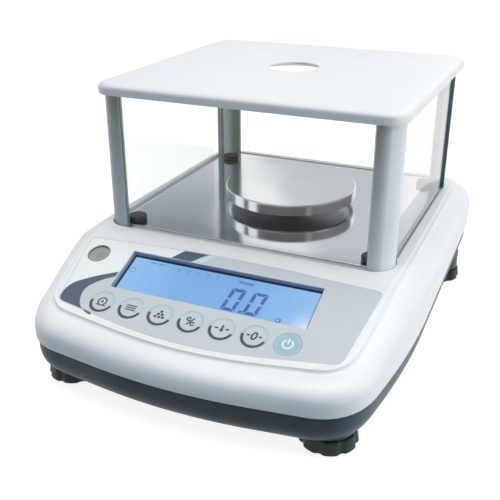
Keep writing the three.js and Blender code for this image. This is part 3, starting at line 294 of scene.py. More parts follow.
# Rear ports
PORT_PLATE_WIDTH = 74.0
PORT_PLATE_HEIGHT = 13.0
PORT_PLATE_X = -30.0
PORT_LAP = 2.0
PORT_LINE = 8.6
SERIAL_SPACING = 20.0
JACK_SPACING = 12.5
JACK_RADIUS = 2.4
JACK_HEIGHT = 1.5
JACK_BORE_SHARE = 0.5

# Light: colours are shares of full light, lamps are in metres; shiny pieces mirror boards far off
WHITE = (1, 1, 1)
ROOM_FRONT = (0.11, 0.135, 0.16)
ROOM_REAR = (0.62, 0.66, 0.69)
ROOM_TOP = (0.62, 0.63, 0.64)
ROOM_DEPTH = (-0.9, 0.5)
ROOM_RISE = (0.1, 1.0)
BOARD_DISTANCE = 20000
BOARD_THICKNESS = 10
RIGHT_BOARD = [(-0.15, 0), (0.22, 0), (0.22, 0.71)]
LEFT_BOARD = [(-2, 0), (-0.045, 0), (-0.045, 1), (-2, 1)]
WIDE_BOARD = [(-1, 0), (2, 0), (2, 1), (-1, 1)]
CARD_GREY = (0.60, 0.61, 0.655)
LEFT_FALL = (6.75, 8.57)
LEFT_LIGHT = (0.68, 0.71, 0.78)
LEFT_DARK = (0.19, 0.21, 0.25)
SIDE_DARK = (0.16, 0.16, 0.165)
FRONT_DARK = (0.10, 0.10, 0.105)
FLOOR_RADIUS = 6000
FLOOR_THICKNESS = 1
FLOOR_SHADE = (0.40, 0.41, 0.42)
FLOOR_SHOWN = (0.28, 0.28, 0.285)
FLOOR_GLOW = 0.87
LAMP_TARGET = (0, 0, 0.08)
TOP_LAMP = {"place": (0, -0.25, 1.7), "size": (1.4, 1.2), "power": 14.5}
SIDE_LAMP = {"place": (1.7, 0.1, 0.75), "size": (1.2, 1.0), "power": 14}

# Looks: slow clouds of colour, patches of gloss, painted shade on front faces, and the display's light in
# metres
# Heights in millimetres over which the painted shade on the housing's front fades: full below 37, none above
# 42
FRONT_SHADE_HEIGHTS = (42, 37)
MIRROR_FADE = (0.089, 0.093)
CLOUD_SCALE = 14
GLOSS_SCALE = 60
GLOSS_CHANGE = 0.06
METAL_GLOSS_SCALE = 22
METAL_GLOSS_SHARES = (0.85, 1.15)
PANE_WAVES = {"scale": 9, "depth": 0.02}
PANE_ROUGHNESS = 0.03
GLASS_INDEX = 1.45
RIM_COLOUR = (0.12, 0.20, 0.205)
RIM_STRENGTH = 0.85
GLOW_ENDS = (0.020, 0.060)
GLOW_CORNER = (0.0585, -0.0415, -0.003)
GLOW_REACH = (0.001, 0.016)
GLOW_FALL = 2.2
GLOW_WHITE = (0.92, 0.97, 1.0)
GLOW_STRENGTH = 0.93
SCREEN_BACK = (0.05, 0.09, 0.16)
CELL_SCALE = 400
CELL_INK = (0.1, 0.2, 0.45)
CELL_INK_SHARE = 0.06
FILM = {"grain": 2200, "depth": 0.004}
PRINT = {"grain": 2000, "depth": 0.002}
SCREEN_PRINT = {"grain": 2000, "depth": 0.001}
POST_PAINT = {"grain": 1300, "depth": 0.003}
SHEET_STEEL = {"depth": 0.0005, "spread": 0.03}

# Sizes worked out from those above
FRONT_Y = -HOUSING_LENGTH / 2
REAR_Y = HOUSING_LENGTH / 2
TIER_HALF = HOUSING_WIDTH / 2 - SIDE_LEDGE
TIER_FRONT_Y = FRONT_Y + FRONT_LEDGE
TIER_REAR_Y = REAR_Y - REAR_LEDGE
BEND_Y = PAN_Y - BEND_SETBACK
RECESS_HALF = TIER_HALF - SHIELD_MARGIN
RECESS_FRONT_Y = PAN_Y - RECESS_FRONT
RECESS_REAR_Y = PAN_Y + RECESS_REAR
RECESS_FLOOR = DECK_HEIGHT - RECESS_DEPTH
POST_HALF = RECESS_HALF - POST_GAP
POST_FRONT_Y = RECESS_FRONT_Y + POST_GAP
POST_REAR_Y = RECESS_REAR_Y - POST_GAP
POST_BOTTOM = RECESS_FLOOR + 2 * FIT_GAP + FRAME_THICKNESS
LID_BOTTOM = DECK_HEIGHT + SHIELD_HEIGHT
POST_TOP = LID_BOTTOM - FIT_GAP
PLATE_TOP = DECK_HEIGHT + PLATE_PROUD
PLATE_HALF = POST_HALF - SIDE_PANE_INSET - PANE_THICKNESS - FIT_GAP
PLATE_FRONT_Y = POST_FRONT_Y + CROSS_PANE_INSET + PANE_THICKNESS + FIT_GAP
PLATE_REAR_Y = POST_REAR_Y - CROSS_PANE_INSET - PANE_THICKNESS - FIT_GAP
PAN_RIM = PLATE_TOP + PAN_CLEARANCE
PAN_TOP = PAN_RIM + PAN_HEIGHT
BRACKET_TOP = RECESS_FLOOR - SHELL_WALL - 2 * FIT_GAP
SCREEN_TOP = -WELL_DEPTH - SCREEN_SINK
PANEL = Matrix.Translation(Vector((0, BEND_Y, DECK_HEIGHT)) * MM) @ Matrix.Rotation(PANEL_SLOPE, 4, "X")
UPRIGHT = Matrix.Identity(4)


# Outlines
def quadratic(start, middle, end, steps):
    t = np.linspace(0, 1, steps + 1)[:, None]
    return (1 - t) ** 2 * start + 2 * t * (1 - t) * middle + t ** 2 * end


def half_outline(corners, spacing=OUTLINE_SPACING):
    """Half an outline, front middle to rear middle; each corner is its point and how far it is cut back."""
    points = []
    last = len(corners) - 1
    mirror = np.array([-1, 1])
    for i, (point, reach) in enumerate(corners):
        before = corners[1][0] * mirror if i == 0 else corners[i - 1][0]
        after = corners[last - 1][0] * mirror if i == last else corners[i + 1][0]
        start = point + (before - point) * reach / np.linalg.norm(before - point)
        end = point + (after - point) * reach / np.linalg.norm(after - point)
        steps = 2 * max(4, math.ceil(reach / spacing))
        arc = quadratic(start, point, end, steps)
        if i == 0:
            arc = arc[steps // 2:]
        if i == last:
            arc = arc[:steps // 2 + 1]
        if points:
            leg = np.linalg.norm(arc[0] - points[-1])
            count = max(1, round(leg / spacing))
            points += [points[-1] + (arc[0] - points[-1]) * k / count for k in range(1, count)]
        points += list(arc)
    return np.array(points)


def close_outline(half):
    return np.vstack([half, half[1:-1][::-1] * np.array([-1, 1])])


def bow_corner(middle_y, corner_x, corner_y):
    pull = BOW_SHARE / 2
    y = (middle_y - corner_y * pull) / (1 - pull)
    return np.array([0, y]), BOW_SHARE * math.hypot(corner_x, corner_y - y)


def tier_outline():
    front_corner = np.array([TIER_HALF - FRONT_TAPER, TIER_FRONT_Y + FRONT_BOW])
    rear_corner = np.array([TIER_HALF - REAR_TAPER, TIER_REAR_Y - REAR_BOW])
    return close_outline(half_outline([
        bow_corner(TIER_FRONT_Y, *front_corner),
        (front_corner, FRONT_CORNER_CUT),
        (np.array([TIER_HALF, BEND_Y]), SIDE_BEND_CUT),
        (rear_corner, REAR_CORNER_CUT),
        bow_corner(TIER_REAR_Y, *rear_corner),
    ]))


def ring_at(plan, height):
    return np.column_stack([plan, np.broadcast_to(height, len(plan))])


def outline_normals(outline):
    along = np.roll(outline, -1, axis=0) - np.roll(outline, 1, axis=0)
    along /= np.linalg.norm(along, axis=1)[:, None]
    return np.stack([along[:, 1], -along[:, 0]], axis=1)


def around(x, y, radius, angles):
    return np.stack([x + radius * np.cos(angles), y + radius * np.sin(angles)], axis=1)


def rounded_rectangle(x0, x1, y0, y1, radius, steps=10):
    turns = quarter(steps)
    corners = [(x1 - radius, y0 + radius, -1), (x1 - radius, y1 - radius, 0),
               (x0 + radius, y1 - radius, 1), (x0 + radius, y0 + radius, 2)]
    return np.vstack([around(x, y, radius, turns + part * math.pi / 2) for x, y, part in corners])


def circle(x, y, radius, count=64):
    return around(x, y, radius, np.arange(count) * 2 * math.pi / count)


def arc_band(x, y, radius, width, start, end, count=40):
    """A printed arc with round ends; angles in degrees, anticlockwise from +X."""
    angles = np.radians(np.linspace(start, end, count))
    tip = np.linspace(0, math.pi, 8)[1:-1]
    first, last = around(x, y, radius, angles[[0, -1]])
    return np.vstack([
        around(x, y, radius + width / 2, angles),
        around(*last, width / 2, angles[-1] + tip),
        around(x, y, radius - width / 2, angles[::-1]),
        around(*first, width / 2, angles[0] + math.pi + tip),
    ])


def bar(start, end, width):
    start, end = np.array(start, float), np.array(end, float)
    along = (end - start) / np.linalg.norm(end - start)
    side = np.array([-along[1], along[0]]) * width / 2
    return np.array([start - side, end - side, end + side, start + side])


def drawn(mark, x, y):
    """The outlines of one mark about a point."""
    kind, *sizes = mark
    if kind == "arc":
        return [arc_band(x + sizes[0], y + sizes[1], *sizes[2:])]
    if kind == "bar":
        return [bar((x + sizes[0], y + sizes[1]), (x + sizes[2], y + sizes[3]), sizes[4])]
    if kind == "dot":
        return [circle(x + sizes[0], y + sizes[1], sizes[2], 20)]
    if kind == "ovals":
        turns = np.radians(np.arange(0, 360, 9))
        slanted = np.array([np.cos(turns), np.sin(turns)])
        return [np.stack([x + w * slanted[0] + DIGIT_SLANT * h * slanted[1], y + h * slanted[1]], axis=1)
                for w, h in sizes]
    return [np.array(sizes) + (x, y)]


def marks(table, x=0, y=0):
    return [drawn(mark, x, y) for mark in table]


def quarter(steps):
    return np.linspace(0, math.pi / 2, steps + 1)


def rounding(radius, steps):
    """Points of a quarter round as the distances left to its two ends' tangents."""
    return [(radius * (1 - math.cos(a)), radius * (1 - math.sin(a))) for a in quarter(steps)]


# Meshes
def make_object(name, verts, faces, matrix=UPRIGHT, sharp=SHARP_EDGE):
    """A smooth-shaded mesh object from points in millimetres."""
    mesh = bpy.data.meshes.new(name)
    mesh.from_pydata((np.asarray(verts, float) * MM).tolist(), [], faces)
    tidy = bmesh.new()
    tidy.from_mesh(mesh)
    bmesh.ops.remove_doubles(tidy, verts=tidy.verts, dist=MERGE_DISTANCE * MM)
    bmesh.ops.recalc_face_normals(tidy, faces=tidy.faces)
    tidy.to_mesh(mesh)
    tidy.free()
    obj = bpy.data.objects.new(name, mesh)
    bpy.context.scene.collection.objects.link(obj)
    obj.matrix_world = matrix
    shade(obj, sharp)
    return obj


def shade(obj, sharp):
    obj.data.shade_smooth()
    obj.data.set_sharp_from_angle(angle=math.radians(sharp))


def loft_faces(count, rings, closed=False):
    faces = []
    for r in range(rings if closed else rings - 1):
        low, high = r * count, (r + 1) % rings * count
        faces += [(low + i, low + (i + 1) % count, high + (i + 1) % count, high + i) for i in range(count)]
    return faces


def loft(name, rings, **options):
    """A closed skin over equal rings, lowest first, with ends that run straight across in X."""
    count = len(rings[0])
    half = count // 2
    faces = loft_faces(count, len(rings))
    top = (len(rings) - 1) * count
    for i in range(half):
        right, left = i, (count - i) % count
        next_right, next_left = i + 1, count - i - 1
        lower = [left, next_left, next_right, right]
        upper = [right, next_right, next_left, left]
        faces.append(tuple(dict.fromkeys(lower)))
        faces.append(tuple(dict.fromkeys(top + k for k in upper)))
    return make_object(name, np.vstack(rings), faces, **options)


def turned(name, profile, x=0, y=0, count=96, **options):
    """A turned piece from a closed profile of (radius, height) pairs."""
    verts, rows = [], []
    for radius, height in profile:
        if radius == 0:
            rows.append([len(verts)] * count)
            verts.append((x, y, height))
            continue
        rows.append(list(range(len(verts), len(verts) + count)))
        verts += [(*point, height) for point in circle(x, y, radius, count)]
    faces = []
    for low, high in zip(rows, rows[1:] + rows[:1]):
        for i in range(count):
            k = (i + 1) % count
            face = tuple(dict.fromkeys([low[i], low[k], high[k], high[i]]))
            if len(face) > 2:
                faces.append(face)
    return make_object(name, verts, faces, **options)


def rounded_profile(points, radius, steps=4):
    """Rounds the corners of a profile that run between two straight parts longer than the radius."""
    result = []
    for i, point in enumerate(points):
        here = np.array(point, float)
        before = np.array(points[i - 1], float)
        after = np.array(points[(i + 1) % len(points)], float)
        short = min(np.linalg.norm(before - here), np.linalg.norm(after - here))
        if here[0] == 0 or short < 2 * radius:
            result.append(tuple(here))
            continue
        start = here + (before - here) * radius / np.linalg.norm(before - here)
        end = here + (after - here) * radius / np.linalg.norm(after - here)
        result += [tuple(p) for p in quadratic(start, here, end, steps)]
    return result


def drum(radius, bottom, top, edge):
    return rounded_profile([(0, bottom), (radius, bottom), (radius, top), (0, top)], edge)


def fill(outlines):
    """Triangles across outlines, the first outside and the rest holes in it."""
    flat = bmesh.new()
    for outline in outlines:
        corners = [flat.verts.new((x, y, 0)) for x, y in outline]
        for a, b in zip(corners, corners[1:] + corners[:1]):
            flat.edges.new((a, b))
    flat.verts.index_update()
    bmesh.ops.triangle_fill(flat, use_beauty=True, edges=flat.edges)
    faces = [tuple(v.index for v in face.verts) for face in flat.faces]
    flat.free()
    return faces


def plate_parts(outlines, bottom, top, offset=0):
    """Points and faces of a flat plate with holes; offset is the number of points before it."""
    faces = []
    points = np.vstack(outlines)
    count = len(points)
    for face in fill(outlines):
        faces.append(tuple(offset + i for i in face))
        faces.append(tuple(offset + count + i for i in face[::-1]))
    first = offset
    for outline in outlines:
        size = len(outline)
        faces += [(first + i, first + (i + 1) % size, first + (i + 1) % size + count, first + i + count)
                  for i in range(size)]
        first += size
    return np.vstack([ring_at(points, bottom), ring_at(points, top)]), faces


def plate(name, outlines, bottom, top, **options):
    verts, faces = plate_parts(outlines, bottom, top)
    return make_object(name, verts, faces, **options)


def print_shapes(name, shapes, level, look, slot, body="housing", height=INK):
    """Printed ink on the panel: one thin mesh of several flat shapes, each a list of outlines."""
    verts, faces = [], []
    for outlines in shapes:
        more, more_faces = plate_parts(outlines, level, level + height, len(verts))
        verts += more.tolist()
        faces += more_faces
    dress(make_object(name, verts, faces, matrix=PANEL), look, slot, body=body)


def box_mesh(name, x0, x1, y0, y1, z0, z1, **options):
    outline = np.array([(x0, y0), (x1, y0), (x1, y1), (x0, y1)])
    return plate(name, [outline], z0, z1, **options)


def carve(obj, operation, *others):
    """Joins or cuts other meshes into obj and removes them."""
    for other in others:
        change = obj.modifiers.new("change", "BOOLEAN")
        change.operation = operation
        change.object = other
        change.solver = "EXACT"
    bpy.context.view_layer.update()
    settled = obj.evaluated_get(bpy.context.evaluated_depsgraph_get())
    mesh = bpy.data.meshes.new_from_object(settled)
    obj.modifiers.clear()
    obj.data = mesh
    for other in others:
        bpy.data.objects.remove(other)


def weigh_normals(obj, sharp=SHARP_EDGE):
    shade(obj, sharp)
    even = obj.modifiers.new("even_normals", "WEIGHTED_NORMAL")
    even.keep_sharp = True
    even.weight = NORMALS_WEIGHT
    return obj


def soften(obj, width):
    bevel = obj.modifiers.new("soft_edges", "BEVEL")
    bevel.width = width * MM
    bevel.segments = 2
    bevel.limit_method = "ANGLE"
    bevel.angle_limit = math.radians(BEVELLED_EDGE)
    bevel.harden_normals = True


def dress(obj, look, slot, *replaced, body="housing"):
    obj.data.materials.clear()
    obj.data.materials.append(LOOKS[look])
    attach(obj, body)
    if replaced:
        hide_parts(*replaced)


# Materials
def add(tree, kind, inputs, **settings):
    """A shader node; each input is linked to a socket or set to a number or a colour."""
    node = tree.nodes.new("ShaderNode" + kind)
    for label, value in settings.items():
        setattr(node, label, value)
    for label, value in inputs.items():
        socket = node.inputs[label]
        if isinstance(value, bpy.types.NodeSocket):
            tree.links.new(value, socket)
        elif socket.type == "RGBA":
            socket.default_value = (*value, 1)
        else:
            socket.default_value = value
    return node


def new_look(name):
    look = bpy.data.materials.new(name)
    look.use_nodes = True
    look.node_tree.nodes.clear()
    return look, look.node_tree


def finish(look, shader):
    add(look.node_tree, "OutputMaterial", {"Surface": shader})
    return look


def place_of(tree, kind="Object"):
    return add(tree, "TexCoord", {}).outputs[kind]


def part_of(tree, vector, axis):
    return add(tree, "SeparateXYZ", {"Vector": vector}).outputs[axis]


def noise(tree, scale, detail=3, stretch=(1, 1, 1), roughness=0.5):
    """Noise in the piece's own space; scale is in cycles per metre."""
    vector = add(tree, "Mapping", {"Vector": place_of(tree), "Scale": stretch}).outputs["Vector"]
    inputs = {"Vector": vector, "Scale": scale, "Detail": detail, "Roughness": roughness}
    return add(tree, "TexNoise", inputs).outputs["Fac"]


def map_range(tree, value, low, high, source=(0.3, 0.7)):
    inputs = {"Value": value, "From Min": source[0], "From Max": source[1], "To Min": low, "To Max": high}
    return add(tree, "MapRange", inputs).outputs["Result"]


def maths(tree, operation, *values):
    return add(tree, "Math", dict(enumerate(values)), operation=operation).outputs["Value"]


def mix_colour(tree, factor, first, second):
    inputs = {"Factor": factor, "A": first, "B": second}
    return add(tree, "Mix", inputs, data_type="RGBA").outputs["Result"]


def mix_shader(tree, factor, first, second):
    return add(tree, "MixShader", {"Fac": factor, 1: first, 2: second}).outputs["Shader"]


def bump(tree, height, depth):
    inputs = {"Distance": depth * MM, "Strength": 1, "Height": height}
    return add(tree, "Bump", inputs).outputs["Normal"]


def principled(tree, colour, roughness, **sockets):
    inputs = {label.replace("_", " "): value for label, value in sockets.items()}
    inputs.update({"Base Color": colour, "Roughness": roughness})
    return add(tree, "BsdfPrincipled", inputs).outputs["BSDF"]


def tint(colour, factor):
    return tuple(min(1.0, c * factor) for c in colour)


def turned_to_front(tree, start, end):
    """0 to 1 as the part of the surface's normal along Y goes from start to end."""
    return map_range(tree, part_of(tree, place_of(tree, "Normal"), "Y"), 0, 1, (start, end))


def lowness(tree, top, bottom):
    """0 to 1 as a point's own height goes down from top to bottom."""
    return map_range(tree, part_of(tree, place_of(tree), "Z"), 0, 1, (top * MM, bottom * MM))


def moulded(name, colour, roughness, grain=900, depth=0.012, spread=0.03, front=None, painted_lid_shadow=None,
            turn=(-0.8, -0.99), below=None, **sockets):
    """Plastic or paint with fine grain, slow change of colour and uneven gloss; painted shade can darken its
    front faces, and a painted shadow of the lid their tops.
    """
    look, tree = new_look(name)
    cloud = map_range(tree, noise(tree, CLOUD_SCALE, 4), 0, 1)
    paint = mix_colour(tree, cloud, tint(colour, 1 - spread), tint(colour, 1 + spread))
    # Painted shadow of the lid: front faces turn darker towards the top of a post, under the lid.
    if painted_lid_shadow:
        front = mix_colour(tree, lowness(tree, POST_TOP, POST_BOTTOM), painted_lid_shadow, front)
    # Painted shade: faces turned to the front take the darker front colour, only below given heights if
    # asked.
    if front:
        share = turned_to_front(tree, *turn)
        if below:
            share = maths(tree, "MULTIPLY", share, lowness(tree, *below))
        paint = mix_colour(tree, share, paint, front)
    gloss = noise(tree, GLOSS_SCALE)
    rough = map_range(tree, gloss, roughness - GLOSS_CHANGE, roughness + GLOSS_CHANGE)
    relief = bump(tree, noise(tree, grain, 2), depth)
    return finish(look, principled(tree, paint, rough, Normal=relief, **sockets))


def brushed(name, colour, roughness, stretch, scale=1500, depth=0.006, spread=0.12):
    """Brushed metal; the noise is stretched along the brushing."""
    look, tree = new_look(name)
    lines = noise(tree, scale, 3, stretch, 0.6)
    dark, light = tint(colour, 1 - spread), tint(colour, 1 + spread / 2)
    metal = mix_colour(tree, map_range(tree, lines, 0, 1), dark, light)
    low, high = METAL_GLOSS_SHARES
    rough = map_range(tree, noise(tree, METAL_GLOSS_SCALE), roughness * low, roughness * high)
    relief = bump(tree, lines, depth)
    return finish(look, principled(tree, metal, rough, Metallic=1, Anisotropic=0.6, Normal=relief))


def sawn_edge(tree, along_pane):
    """1 on the upright narrow faces of a flat pane, whose normals lie along the pane."""
    along = part_of(tree, place_of(tree, "Normal"), along_pane)
    return map_range(tree, maths(tree, "ABSOLUTE", along), 0, RIM_STRENGTH, (0.2, 0.8))


def clear_pane(name, colour, strength, along_pane=None, fade=None):
    """Clear glass: light goes through as it is, its front mirrors by angle, its narrow faces are dark."""
    look, tree = new_look(name)
    through = add(tree, "BsdfTransparent", {"Color": colour}).outputs["BSDF"]
    waves = bump(tree, noise(tree, PANE_WAVES["scale"], 2), PANE_WAVES["depth"])
    mirror = add(tree, "BsdfGlossy", {"Roughness": PANE_ROUGHNESS, "Normal": waves}).outputs["BSDF"]
    side = add(tree, "NewGeometry", {}).outputs
    front = map_range(tree, side["Backfacing"], strength, 0, (0, 1))
    if fade:
        ahead = map_range(tree, part_of(tree, side["Position"], "Y"), 1, 0, fade)
        front = maths(tree, "MULTIPLY", ahead, front)
    edge = add(tree, "Fresnel", {"IOR": GLASS_INDEX}).outputs["Fac"]
    shader = mix_shader(tree, maths(tree, "MULTIPLY", edge, front), through, mirror)
    if along_pane:
        rim = principled(tree, RIM_COLOUR, 0.3)
        shader = mix_shader(tree, sawn_edge(tree, along_pane), shader, rim)
    return finish(look, shader)


def backlit(name, colour, glow):
    """Liquid crystal with a light behind it, brighter at its ends and white in one corner."""
    look, tree = new_look(name)
    place = place_of(tree)
    across = part_of(tree, place, "X")
    near, far = GLOW_ENDS
    left = map_range(tree, across, 1, 0, (-far, -near))
    right = map_range(tree, across, 0, 1, (near, far))
    body = mix_colour(tree, maths(tree, "MAXIMUM", left, right), colour, glow)
    away = add(tree, "VectorMath", {0: place, 1: GLOW_CORNER}, operation="DISTANCE").outputs["Value"]
    hot = maths(tree, "POWER", map_range(tree, away, 1, 0, GLOW_REACH), GLOW_FALL)
    lit = mix_colour(tree, hot, body, GLOW_WHITE)
    cells = map_range(tree, noise(tree, CELL_SCALE, 2), 0, CELL_INK_SHARE)
    light = mix_colour(tree, cells, lit, CELL_INK)
    shader = principled(tree, SCREEN_BACK, 0.6, Specular_IOR_Level=0, Emission_Color=light,
                        Emission_Strength=GLOW_STRENGTH)
    return finish(look, shader)


LOOKS = {
    # Painted shade: the housing's front faces turn darker and bluer low down, below the crease.
    "white": moulded("white_plastic", (0.80, 0.815, 0.84), 0.36, front=(0.51, 0.60, 0.66),
                     turn=(-0.35, -0.95), below=FRONT_SHADE_HEIGHTS),
    # Painted shade: the lid's front faces take a darker colour.
    "lid": moulded("lid_plastic", (0.77, 0.785, 0.81), 0.36, 1500, 0.002, 0.01, front=(0.55, 0.61, 0.65)),
    # Painted shade: the base's front faces take a darker colour.
    "teal": moulded("teal_plastic", (0.060, 0.105, 0.130), 0.42, 1300, 0.02, front=(0.003, 0.022, 0.037),
                    turn=(-0.2, -0.9), Specular_IOR_Level=0.3),
    "foot": moulded("foot_plastic", (0.010, 0.024, 0.028), 0.4, 1100, 0.02, Specular_IOR_Level=0.3),
    "overlay": moulded("printed_film", (0.545, 0.58, 0.615), 0.5, **FILM),
    "overlay_white": moulded("film_white", (0.82, 0.85, 0.87), 0.5, **FILM),
    "key_face": moulded("key_film", (0.53, 0.58, 0.61), 0.48, **FILM),
    "power_face": moulded("power_film", (0.31, 0.49, 0.56), 0.48, **FILM),
    "halo": moulded("halo_ink", (0.42, 0.57, 0.62), 0.5, **PRINT),
    "slate": moulded("slate_ink", (0.068, 0.092, 0.135), 0.45, **PRINT),
    "key_ink": moulded("key_ink", (0.040, 0.052, 0.072), 0.45, **PRINT),
    "pale_ink": moulded("pale_ink", (0.80, 0.86, 0.88), 0.45, **PRINT),
    "cyan_ink": moulded("cyan_ink", (0.56, 0.72, 0.77), 0.45, **PRINT),
    "well": moulded("well_plastic", (0.34, 0.38, 0.52), 0.4),
    "navy": moulded("navy_frame", (0.012, 0.025, 0.08), 0.3),
    "lcd": backlit("display_light", (0.205, 0.415, 0.72), (0.31, 0.55, 0.83)),
    "lcd_ink": moulded("display_ink", (0.045, 0.12, 0.38), 0.4, **SCREEN_PRINT),
    "lcd_faint": moulded("display_faint_ink", (0.12, 0.24, 0.52), 0.4, **SCREEN_PRINT),
    "level": moulded("level_base", (0.37, 0.365, 0.35), 0.4, 700, 0.01),
    "level_liquid": moulded("level_liquid", (0.42, 0.415, 0.40), 0.5, 60, 0.004, Specular_IOR_Level=0.1),
    # The four posts share one paint; each copy is coloured for the light where it stands: painted shade on
    # the front left and rear left posts, painted light on the front right and rear right posts, painted shade
    # on all front faces, and a painted shadow of the lid at the tops of both front posts.
    "post": moulded("post_paint", (0.36, 0.39, 0.41), 0.34, front=(0.42, 0.47, 0.51),
                    painted_lid_shadow=(0.19, 0.215, 0.22), **POST_PAINT),
    "post_right_painted_light": moulded("right_post_paint_painted_light", (0.74, 0.78, 0.81), 0.34, front=(0.52, 0.57, 0.61),
                          painted_lid_shadow=(0.21, 0.235, 0.24), **POST_PAINT),
    "post_shaded": moulded("shaded_post_paint", (0.62, 0.66, 0.69), 0.34, front=(0.30, 0.305, 0.27),
                           **POST_PAINT),
    "post_rear_painted_light": moulded("rear_post_paint_painted_light", (0.90, 0.92, 0.95), 0.34, front=(0.62, 0.66, 0.69),
                           **POST_PAINT),
    "black": moulded("black_plastic", (0.012, 0.013, 0.015), 0.42),
    "rubber": moulded("pad_rubber", (0.016, 0.018, 0.019), 0.75, 700, 0.03),
    "board": moulded("board_green", (0.02, 0.12, 0.05), 0.4, 300, 0.03),
    "cable": moulded("cable_grey", (0.3, 0.3, 0.31), 0.5, 300, 0.02),
    "pan": brushed("pan_steel", (0.90, 0.90, 0.905), 0.13, (1, 0.03, 1), **SHEET_STEEL),
    "plate_steel": brushed("plate_steel", (0.88, 0.885, 0.90), 0.12, (1, 0.03, 1), **SHEET_STEEL),
    "steel": brushed("machined_steel", (0.5, 0.5, 0.5), 0.3, (1, 1, 0.1), 800),
    "aluminium": brushed("milled_aluminium", (0.6, 0.61, 0.62), 0.35, (1, 0.1, 1), 900),
    "side_glass": clear_pane("side_pane_glass", (0.985, 0.993, 0.99), 1.75, "Y", MIRROR_FADE),
    "cross_glass": clear_pane("cross_pane_glass", (0.985, 0.993, 0.99), 0.6, "X"),
    "window": clear_pane("window_acrylic", (0.97, 0.975, 0.985), 0.35),
    "lens": clear_pane("level_acrylic", (0.97, 0.975, 0.97), 0.35),
}


# Housing
def top_height(y):
    run = BEND_Y + BEND_LENGTH / 2 - np.asarray(y, float)
    tangent = math.tan(PANEL_SLOPE)
    bent = DECK_HEIGHT - tangent * run ** 2 / (2 * BEND_LENGTH)
    sloped = DECK_HEIGHT - tangent * (run - BEND_LENGTH / 2)
    return np.where(run <= 0, DECK_HEIGHT, np.where(run < BEND_LENGTH, bent, sloped))


def parting_height(y):
    return PARTING_FRONT + PARTING_RISE * (np.asarray(y, float) - FRONT_Y) / HOUSING_LENGTH


TIER = tier_outline()
TIER_NORMALS = outline_normals(TIER)
LEDGE_EDGES = np.where(TIER_NORMALS[:, 1] < 0, FRONT_LEDGE, REAR_LEDGE)
LEDGE_WIDTHS = SIDE_LEDGE + (LEDGE_EDGES - SIDE_LEDGE) * TIER_NORMALS[:, 1] ** 2
TIER_EDGE_Y = (TIER - TIER_NORMALS * TIER_ROUND)[:, 1]
TIER_TOP = top_height(TIER_EDGE_Y)


def housing_ring(step_out, height_at):
    plan = TIER + TIER_NORMALS * np.broadcast_to(step_out, len(TIER))[:, None]
    return ring_at(plan, height_at(plan[:, 1]))


def ledge_drop(own_y):
    room = TIER_TOP - TIER_STEP - parting_height(own_y) - 2 * LIP_ROUND
    return np.minimum(LEDGE_ROUND, room)


def upper_skin():
    rings = [housing_ring(LEDGE_WIDTHS - inset, lambda y: parting_height(y) + up)
             for up, inset in rounding(LIP_ROUND, 5)]
    crease = np.arcsin(CREASE_ROUND / LEDGE_WIDTHS)
    for share in np.linspace(1, 0, 16):
        turn = crease + (math.pi / 2 - crease) * share
        rings.append(housing_ring(
            LEDGE_WIDTHS * np.sin(turn),
            lambda y: TIER_TOP - TIER_STEP - ledge_drop(y) * (1 - np.cos(turn))))
    for t in np.linspace(0, 1, 7)[1:]:
        start = (1 - t) ** 2
        rings.append(housing_ring(
            CREASE_ROUND * start,
            lambda y: TIER_TOP - TIER_STEP + CREASE_ROUND * t ** 2
            - ledge_drop(y) * (1 - np.cos(crease)) * start))
    first = math.acos(CREASE_ROUND / TIER_STEP)
    for a in np.linspace(first, 0, 10)[1:]:
        rings.append(housing_ring(-TIER_ROUND * (1 - math.sin(a)),
                                  lambda y: TIER_TOP - TIER_STEP * (1 - math.cos(a))))
    return loft("upper_shell", rings)


def upper_hollow():
    rings = [housing_ring(LEDGE_WIDTHS - SHELL_WALL, lambda y: parting_height(y) - OVERRUN)]
    for a in quarter(3)[::-1]:
        rings.append(housing_ring(
            LEDGE_WIDTHS * math.sin(a) - SHELL_WALL,
            lambda y: TIER_TOP - TIER_STEP - SHELL_WALL - ledge_drop(y) * (1 - math.cos(a))))
    rings.append(housing_ring(-TIER_ROUND - SHELL_WALL, lambda y: top_height(y) - SHELL_WALL))
    return loft("hollow", rings)


def tier_half_at(down):
    share = down * math.cos(PANEL_SLOPE) / (BEND_Y - (TIER_FRONT_Y + FRONT_BOW))
    return TIER_HALF - FRONT_TAPER * share


def overlay_outline(growth=0.0):
    top, bottom = -OVERLAY_TOP + growth, -OVERLAY_BOTTOM - growth
    top_half = tier_half_at(OVERLAY_TOP) - OVERLAY_TOP_MARGIN + growth
    bottom_half = tier_half_at(OVERLAY_BOTTOM) - OVERLAY_BOTTOM_MARGIN + growth
    return close_outline(half_outline([
        bow_corner(bottom - OVERLAY_BOTTOM_BOW, bottom_half, bottom),
        (np.array([bottom_half, bottom]), OVERLAY_CORNER),
        (np.array([top_half, top]), OVERLAY_CORNER),
        bow_corner(top + OVERLAY_TOP_BOW, top_half, top),
    ]))


def window_outline(growth=0.0):
    left, right = WINDOW_X - WINDOW_WIDTH / 2, WINDOW_X + WINDOW_WIDTH / 2
    return rounded_rectangle(left - growth, right + growth, -WINDOW_TOP - WINDOW_HEIGHT - growth,
                             -WINDOW_TOP + growth, WINDOW_CORNER + max(growth, 0), 4)


KEY_PLACES = [KEY_X + (i - (KEY_COUNT - 1) / 2) * KEY_PITCH for i in range(KEY_COUNT)]


def port_height():
    return float(parting_height(REAR_Y)) + PORT_LINE


